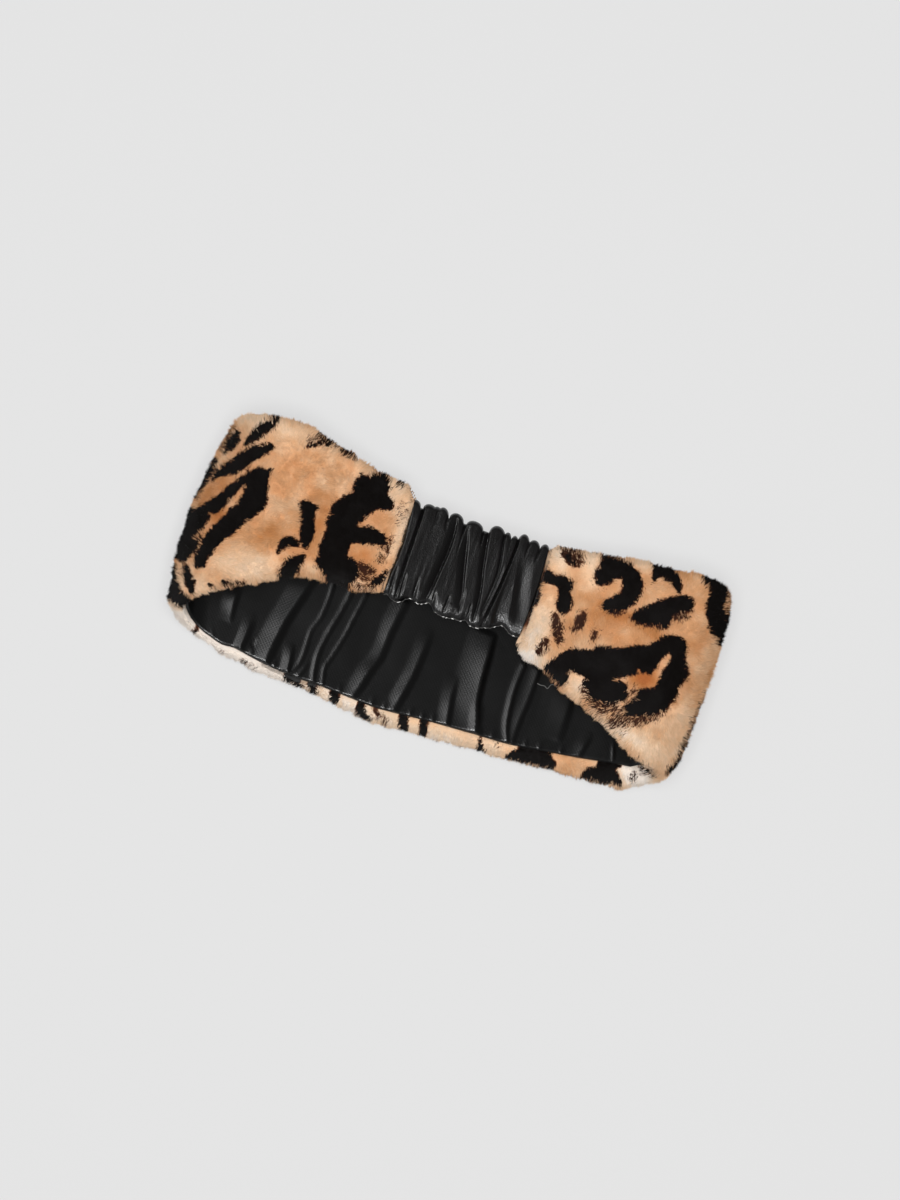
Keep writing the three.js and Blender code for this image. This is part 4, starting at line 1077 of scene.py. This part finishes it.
# Each valley between pleats: the width of its left and right slopes, and points down it as
# x, y and depth.
VALLEYS = [
    (1.3, 0.9, [(-27.6, 50, 2.6), (-26.9, 40, 2.6), (-26.6, 26, 2.5), (-26.2, 12, 2.3),
        (-25.4, 0, 1.6)]),
    (1.2, 1.5, [(-29.8, 15, 0), (-29.4, 8, 0.9), (-29, 0, 1.1)]),
    (1.0, 1.5, [(-24.6, 12, 0), (-24.2, 7, 1.0), (-23.8, 2, 1.2), (-23.4, -3, 0.8)]),
    (1.4, 1.7, [(-17.8, 12, 0), (-17.4, 6, 1.0), (-17, 0, 1.2)]),
    (0.8, 1.4, [(-7.8, 9, 0), (-7.4, 5, 0.9), (-7.2, 2, 0.7)]),
    (0.8, 0.8, [(-20.4, 50, 1.1), (-20.2, 46, 0.8), (-20, 42, 0)]),
    (1.1, 0.9, [(-14.4, 50, 2.2), (-14.2, 44, 1.2), (-13.8, 38, 0)]),
    (4.4, 1.0, [(-9.8, 46, 0.6), (-8.7, 39, 2.6), (-8.4, 30, 3.0), (-9, 20, 2.8), (-9.8, 10, 2.4),
        (-10.6, 2, 1.6)]),
    (1.1, 0.9, [(-5.4, 50, 2.6), (-5, 45, 2.4), (-4.6, 40, 1.4), (-4.2, 34, 0.5), (-4, 28, 0)]),
    (4.2, 1.0, [(-2.6, 42, 0.5), (-1, 36, 1.8), (1, 28, 2.5), (3, 20, 2.5), (5.2, 12, 1.8),
        (6, 6, 1.0)]),
    (1.0, 1.5, [(6.2, 14, 0), (6.4, 9, 1.0), (6.8, 4, 0.9)]),
    (1.0, 1.4, [(-0.2, 9, 0), (-0.3, 5, 1.0), (-0.3, 1, 0.9)]),
    (0.8, 1.5, [(11.4, 9, 0), (11.6, 5, 1.1), (11.6, 1, 0.9)]),
    (1.0, 0.9, [(4.6, 50, 2.8), (4.8, 44, 2.6), (5.6, 39, 1.2), (6.4, 35, 0)]),
    (3.0, 1.0, [(7, 50, 2.6), (7.5, 44, 2.6), (8.8, 37, 2.6), (10.6, 28, 2.6), (13, 18, 2.4),
        (14.4, 10, 2.0), (15, 2, 1.2)]),
    (1.4, 0.9, [(15.2, 50, 1.9), (16, 42, 1.9), (17.6, 34, 1.8), (18.6, 27, 1.5), (18.4, 18, 1.0),
        (17.6, 8, 0.6)]),
    (0.8, 1.6, [(20, 32, 0), (19.9, 26, 0.7), (19.2, 16, 0.8), (17.9, 6, 0.8)]),
    (1.0, 0.8, [(18.6, 50, 1.4), (18.8, 46, 0.8), (19, 42, 0)]),
    (1.0, 0.9, [(22.6, 50, 2.4), (22.8, 40, 2.8), (22.5, 30, 2.8), (21.8, 20, 2.7), (20.6, 8, 2.3),
        (20, 0, 1.4)]),
    (1.2, 0.9, [(28.2, 50, 1.4), (28.4, 46, 0.9), (28.6, 40, 0.3), (28.6, 36, 0)]),
    (4.4, 6.4, [(28.4, 40, 0), (29.6, 33, 0.8), (31, 26, 1.4), (33, 18, 1.5), (34.6, 10, 1.2),
        (35.4, 3, 0.7)]),
    (2, 6.4, [(24.2, 40, 0.1), (24.4, 28, 0.5), (24.6, 15, 0.8), (24.8, 6, 1.2), (25.4, 2, 0.9)]),
    (1.2, 0.9, [(34.6, 50, 1.7), (34.4, 46, 1.2), (34, 40, 0.3), (33.8, 36, 0)]),
]


def leather_puff(x, y, low, high):
    """Height of the pleated face over the casing's underside."""
    dip = np.zeros_like(x)
    for left, right, points in VALLEYS:
        valley_x, depth = crest_line(points, y)
        away = np.where(x < valley_x, (valley_x - x) / left, (x - valley_x) / right)
        share = np.clip(1 - away, 0, 1)
        form = smooth(share) if left + right > BROAD_VALLEY else share ** CREASE_CURVE
        dip = np.maximum(dip, depth * form)
    at = np.stack([x, y, 0 * x], axis=-1)
    dip = dip + WRINKLES * tufts(at, WRINKLE_SIZE) + SLACK * lumps(at, SLACK_SIZE)
    over_hem = np.clip((y - low - HEM_START) / HEM_REACH, 0, 1)
    dip = dip + HEM_DROP * (1 - over_hem) ** 2
    dip = dip + TOP_DROP * (1 - smooth((high - y) / TOP_REACH))
    fold = rounded(np.minimum(y - low, high - y), LEATHER_EDGE)
    return LEATHER_BASE + (LEATHER_PUFF - LEATHER_BASE - dip) * fold


def leather_head(x):
    top = np.full_like(x, NOTCH_Y)
    for head_x, half_wide, head_y in HEADS:
        bump = np.sqrt(np.clip(1 - ((x - head_x) / half_wide) ** 2, 0, 1))
        top = np.maximum(top, NOTCH_Y + (head_y - NOTCH_Y) * bump)
    return top


def across_leather(share, y):
    """x at a share of the way from the left seam to the right one, at height y."""
    left, right = seam_bow(-1, y) + GAP, seam_bow(1, y) - GAP
    return left + (right - left) * share


leather_share = np.linspace(0, 1, LEATHER_COLUMNS)[:, None]
middle_x, top_x = (across_leather(leather_share, np.full_like(leather_share, y))
                   for y in (MIDDLE_Y, TOP_Y))
hem_y, head_y = look_up(HEM, middle_x.ravel()), leather_head(top_x)
eased_rows = (1 - np.cos(np.pi * np.linspace(0, 1, LEATHER_ROWS))) / 2
leather_rows = 0.5 * eased_rows + 0.5 * np.linspace(0, 1, LEATHER_ROWS)
leather_y = hem_y + (head_y - hem_y) * leather_rows[None, :]
leather_x = across_leather(leather_share, leather_y)
under_z = BACK_Z + LEATHER_LIFT
leather_z = under_z + leather_puff(leather_x, leather_y, hem_y, head_y)
under_y = leather_y[:, ::UNDER_STEP]
under_x = across_leather(leather_share, under_y)
leather_top = np.stack([leather_x, leather_y, leather_z], axis=-1)
leather_under = np.stack([under_x, under_y, np.full_like(under_x, under_z)], axis=-1)
leather_rings = np.concatenate([leather_top, leather_under[:, ::-1]], axis=1)
leather_points, leather_triangles = closed_strip(leather_rings)
leather = make_mesh("gathered_leather", leather_points, leather_triangles[:, ::-1])

# Black nappa, drum-dyed and lightly plated: a soft low gloss broken by its pebble grain.
# The 0.3 mm grain is drawn at 1 mm so it shows.
GRAIN = 1.0
nappa = new_material("black_nappa_leather")
nappa_at = node(nappa, "ShaderNodeTexCoord")
pebbles = node(nappa, "ShaderNodeTexVoronoi", {"Vector": nappa_at.outputs["Object"]},
               feature="DISTANCE_TO_EDGE", Scale=1 / (GRAIN * MM))
raised = node(nappa, "ShaderNodeMapRange", {"Value": pebbles.outputs["Distance"]},
              From_Max=0.3)
nappa_bump = node(nappa, "ShaderNodeBump", {"Height": raised.outputs["Result"]},
                  Strength=0.5, Distance=0.12 * MM)
nappa_surface = node(nappa, "ShaderNodeBsdfPrincipled", {"Normal": nappa_bump.outputs["Normal"]},
                     Base_Color=hex_colour("#0b0a0a"), Roughness=0.34, IOR=1.5,
                     Specular_IOR_Level=0.4)
node(nappa, "ShaderNodeOutputMaterial", {"Surface": nappa_surface.outputs["BSDF"]})
leather.data.materials.append(nappa)
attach(leather, "root")
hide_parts("leather_back")

# ---- Hem stitching -----------------------------------------------------------------------
# A pale grey polyester thread that closes the leather casing along its wavy lower edge.
# It dives in and out of the leather; it is drawn darker grey as painted shade, and near white as a
# painted highlight on the stitches that lie on top.
THREAD = 0.17                 # radius, thicker than the real 0.1 mm so that it shows
LINE_THREAD, STITCH_THREAD, LOOSE_THREAD = 0.55 * THREAD, 1.1 * THREAD, 0.16
THREAD_END = 0.3              # share of its radius at its two ends
THREAD_RISE = 1.9             # over the leather's underside
THREAD_INSET = 0.15           # below the hem's line
# The stitches with the painted highlight also stand this much higher.
STITCH_RISE = 0.25            # of the stitches that show bright, over the others
# How deep and how fast the thread dips and sways: mm, radians for each mm, start.
DIPS = [(0.22, 2.1, 0), (0.18, 4.7, 1)]
SWAY, SWAY_RATE = 0.12, 3.3


def thread_tube(path, radius, sides=6):
    """Points and triangles of a thread along a path in mm, thinned to its two ends."""
    way = unit(np.gradient(path, axis=0))
    side = unit(np.cross(way, [0.0, 0.0, 1.0]))
    top = np.cross(side, way)
    ends = np.ones(len(path))
    ends[[0, -1]] = THREAD_END
    turns = np.linspace(0, 2 * math.pi, sides, endpoint=False)
    spokes = (side[:, None] * np.cos(turns)[None, :, None]
              + top[:, None] * np.sin(turns)[None, :, None])
    return closed_strip(path[:, None] + (radius * ends)[:, None, None] * spokes)


def thread_piece(name, tubes, material):
    points, faces, start = [], [], 0
    for tube_points, tube_faces in tubes:
        points.append(tube_points)
        faces.append(tube_faces + start)
        start += len(tube_points)
    made = make_mesh(name, np.vstack(points), np.vstack(faces))
    made.data.materials.append(material)
    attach(made, "root")


def on_hem(x):
    y = look_up(HEM, x)[:, 0] - THREAD_INSET + SWAY * np.sin(x * SWAY_RATE)
    dips = sum(depth * np.sin(x * rate + start) for depth, rate, start in DIPS)
    return np.column_stack([x, y, under_z + THREAD_RISE + dips])


# Smooth spun polyester, in two painted copies: a darker grey as painted shade where it lies
# among the pleats, and near white as a painted highlight where a stitch lies on top.
threads = []
for name, colour, roughness in (("polyester_thread_painted_shade", "#6c6b69", 0.6),
                                ("polyester_thread_painted_highlight", "#e4e3e0", 0.55)):
    thread = new_material(name)
    surface = node(thread, "ShaderNodeBsdfPrincipled", Base_Color=hex_colour(colour),
                   Roughness=roughness, IOR=1.5)
    node(thread, "ShaderNodeOutputMaterial", {"Surface": surface.outputs["BSDF"]})
    threads.append(thread)
thread_painted_shade, thread_painted_highlight = threads
HEM_ENDS, HEM_POINTS, STITCH_POINTS, LOOSE_POINTS = (-31.6, 38.6), 260, 7, 50
hem_line = on_hem(np.linspace(*HEM_ENDS, HEM_POINTS))
thread_piece("hem_thread", [thread_tube(hem_line, LINE_THREAD)], thread_painted_shade)
# middle and half length of each stitch drawn with the painted highlight
HIGHLIGHT_STITCHES = [
    (-23, 0.9), (-18.2, 0.6), (-14.6, 1.3), (-12, 0.5), (-10, 0.5), (-4.2, 0.9), (0.4, 0.5),
    (2, 0.4), (5.2, 0.7), (9.2, 0.4), (14.4, 0.6), (18, 0.9), (22, 0.4), (26.2, 0.4), (29.4, 0.6),
    (36.6, 0.6),
]
highlight_tubes = []
for middle, reach in HIGHLIGHT_STITCHES:
    stitch = on_hem(np.linspace(middle - reach, middle + reach, STITCH_POINTS))
    stitch[:, 2] += STITCH_RISE
    highlight_tubes.append(thread_tube(stitch, STITCH_THREAD))
thread_piece("hem_stitches", highlight_tubes, thread_painted_highlight)

# A loose end of the same thread, caught on the lining under the right edge of the wool, in the
# darker grey of its painted shade.
LOOSE_RISE = 0.6              # over the satin
LOOSE_END = [(56, -18), (58, -18.3), (60, -18), (61.8, -18.7), (63, -16.2), (65, -16),
             (66.6, -16.4), (68.6, -17.2)]
loose = np.array(LOOSE_END, float)
loose_rows = np.column_stack([np.arange(len(loose)), loose])
loose_path = look_up(loose_rows, np.linspace(0, len(loose) - 1, LOOSE_POINTS))
loose_z = np.full(len(loose_path), FUR_DEPTH + GAP + LINING_DEPTH + LOOSE_RISE)
loose_tube = thread_tube(np.column_stack([loose_path, loose_z]), LOOSE_THREAD)
thread_piece("loose_thread", [loose_tube], thread_painted_shade)

# ---- Floor, light and camera -------------------------------------------------------------
# A pale table that glows evenly, one soft box overhead, two low ones for the gloss of the
# satin and leather, and a camera straight above, turned so the band lies at a slant.
FLOOR_SIZE = 6                # metres
bpy.ops.mesh.primitive_plane_add(size=FLOOR_SIZE)
floor = bpy.context.object
floor.name = "floor"
paper = new_material("pale_paper")
# Matt paper lit from behind as on a light table, so the band casts only a faint shade.
paper_surface = node(paper, "ShaderNodeBsdfPrincipled", Base_Color=hex_colour("#707070"),
                     Roughness=0.9, Specular_IOR_Level=0.2,
                     Emission_Color=hex_colour("#ffffff"), Emission_Strength=0.56)
node(paper, "ShaderNodeOutputMaterial", {"Surface": paper_surface.outputs["BSDF"]})
floor.data.materials.append(paper)

SLANT = math.radians(20)
VIEW_CENTRE = (0.7, 6.3)      # mm, in the part's frame
VIEW_HEIGHT = 600             # mm that the view spans at the band's mid height
MID_HEIGHT = 20
LENS = 160
SENSOR = 36
camera_data = bpy.data.cameras.new("camera")
camera_data.lens = LENS
camera_data.sensor_width = SENSOR
camera = bpy.data.objects.new("camera", camera_data)
distance = VIEW_HEIGHT * LENS / SENSOR + MID_HEIGHT
camera.location = (VIEW_CENTRE[0] * MM, VIEW_CENTRE[1] * MM, distance * MM)
camera.rotation_euler = (0, 0, SLANT)
bpy.context.scene.collection.objects.link(camera)
bpy.context.scene.camera = camera


def soft_box(name, place_at, size, power, gloss_only):
    """A square soft box that faces the band, placed and sized in metres, with its power in
    watts. It lights either the gloss alone, or all but the gloss."""
    lamp = bpy.data.lights.new(name, "AREA")
    lamp.size, lamp.energy = size, power
    holder = bpy.data.objects.new(name, lamp)
    holder.location = place_at
    holder.rotation_euler = (-holder.location).to_track_quat("-Z", "Y").to_euler()
    holder.visible_glossy = gloss_only
    holder.visible_diffuse = not gloss_only
    bpy.context.scene.collection.objects.link(holder)


soft_box("top_soft_box", (0, 0, 2.4), size=1.3, power=75, gloss_only=False)
soft_box("left_soft_box", (-1.5, -0.5, 1.7), size=1.1, power=27, gloss_only=True)
soft_box("near_soft_box", (-0.7, -1.5, 1.5), size=0.4, power=50, gloss_only=True)
world = bpy.data.worlds.new("studio")
world.use_nodes = True
world.node_tree.nodes["Background"].inputs["Color"].default_value = (1, 1, 1, 1)
world.node_tree.nodes["Background"].inputs["Strength"].default_value = 0.14
bpy.context.scene.world = world
bpy.context.scene.view_settings.view_transform = "Standard"
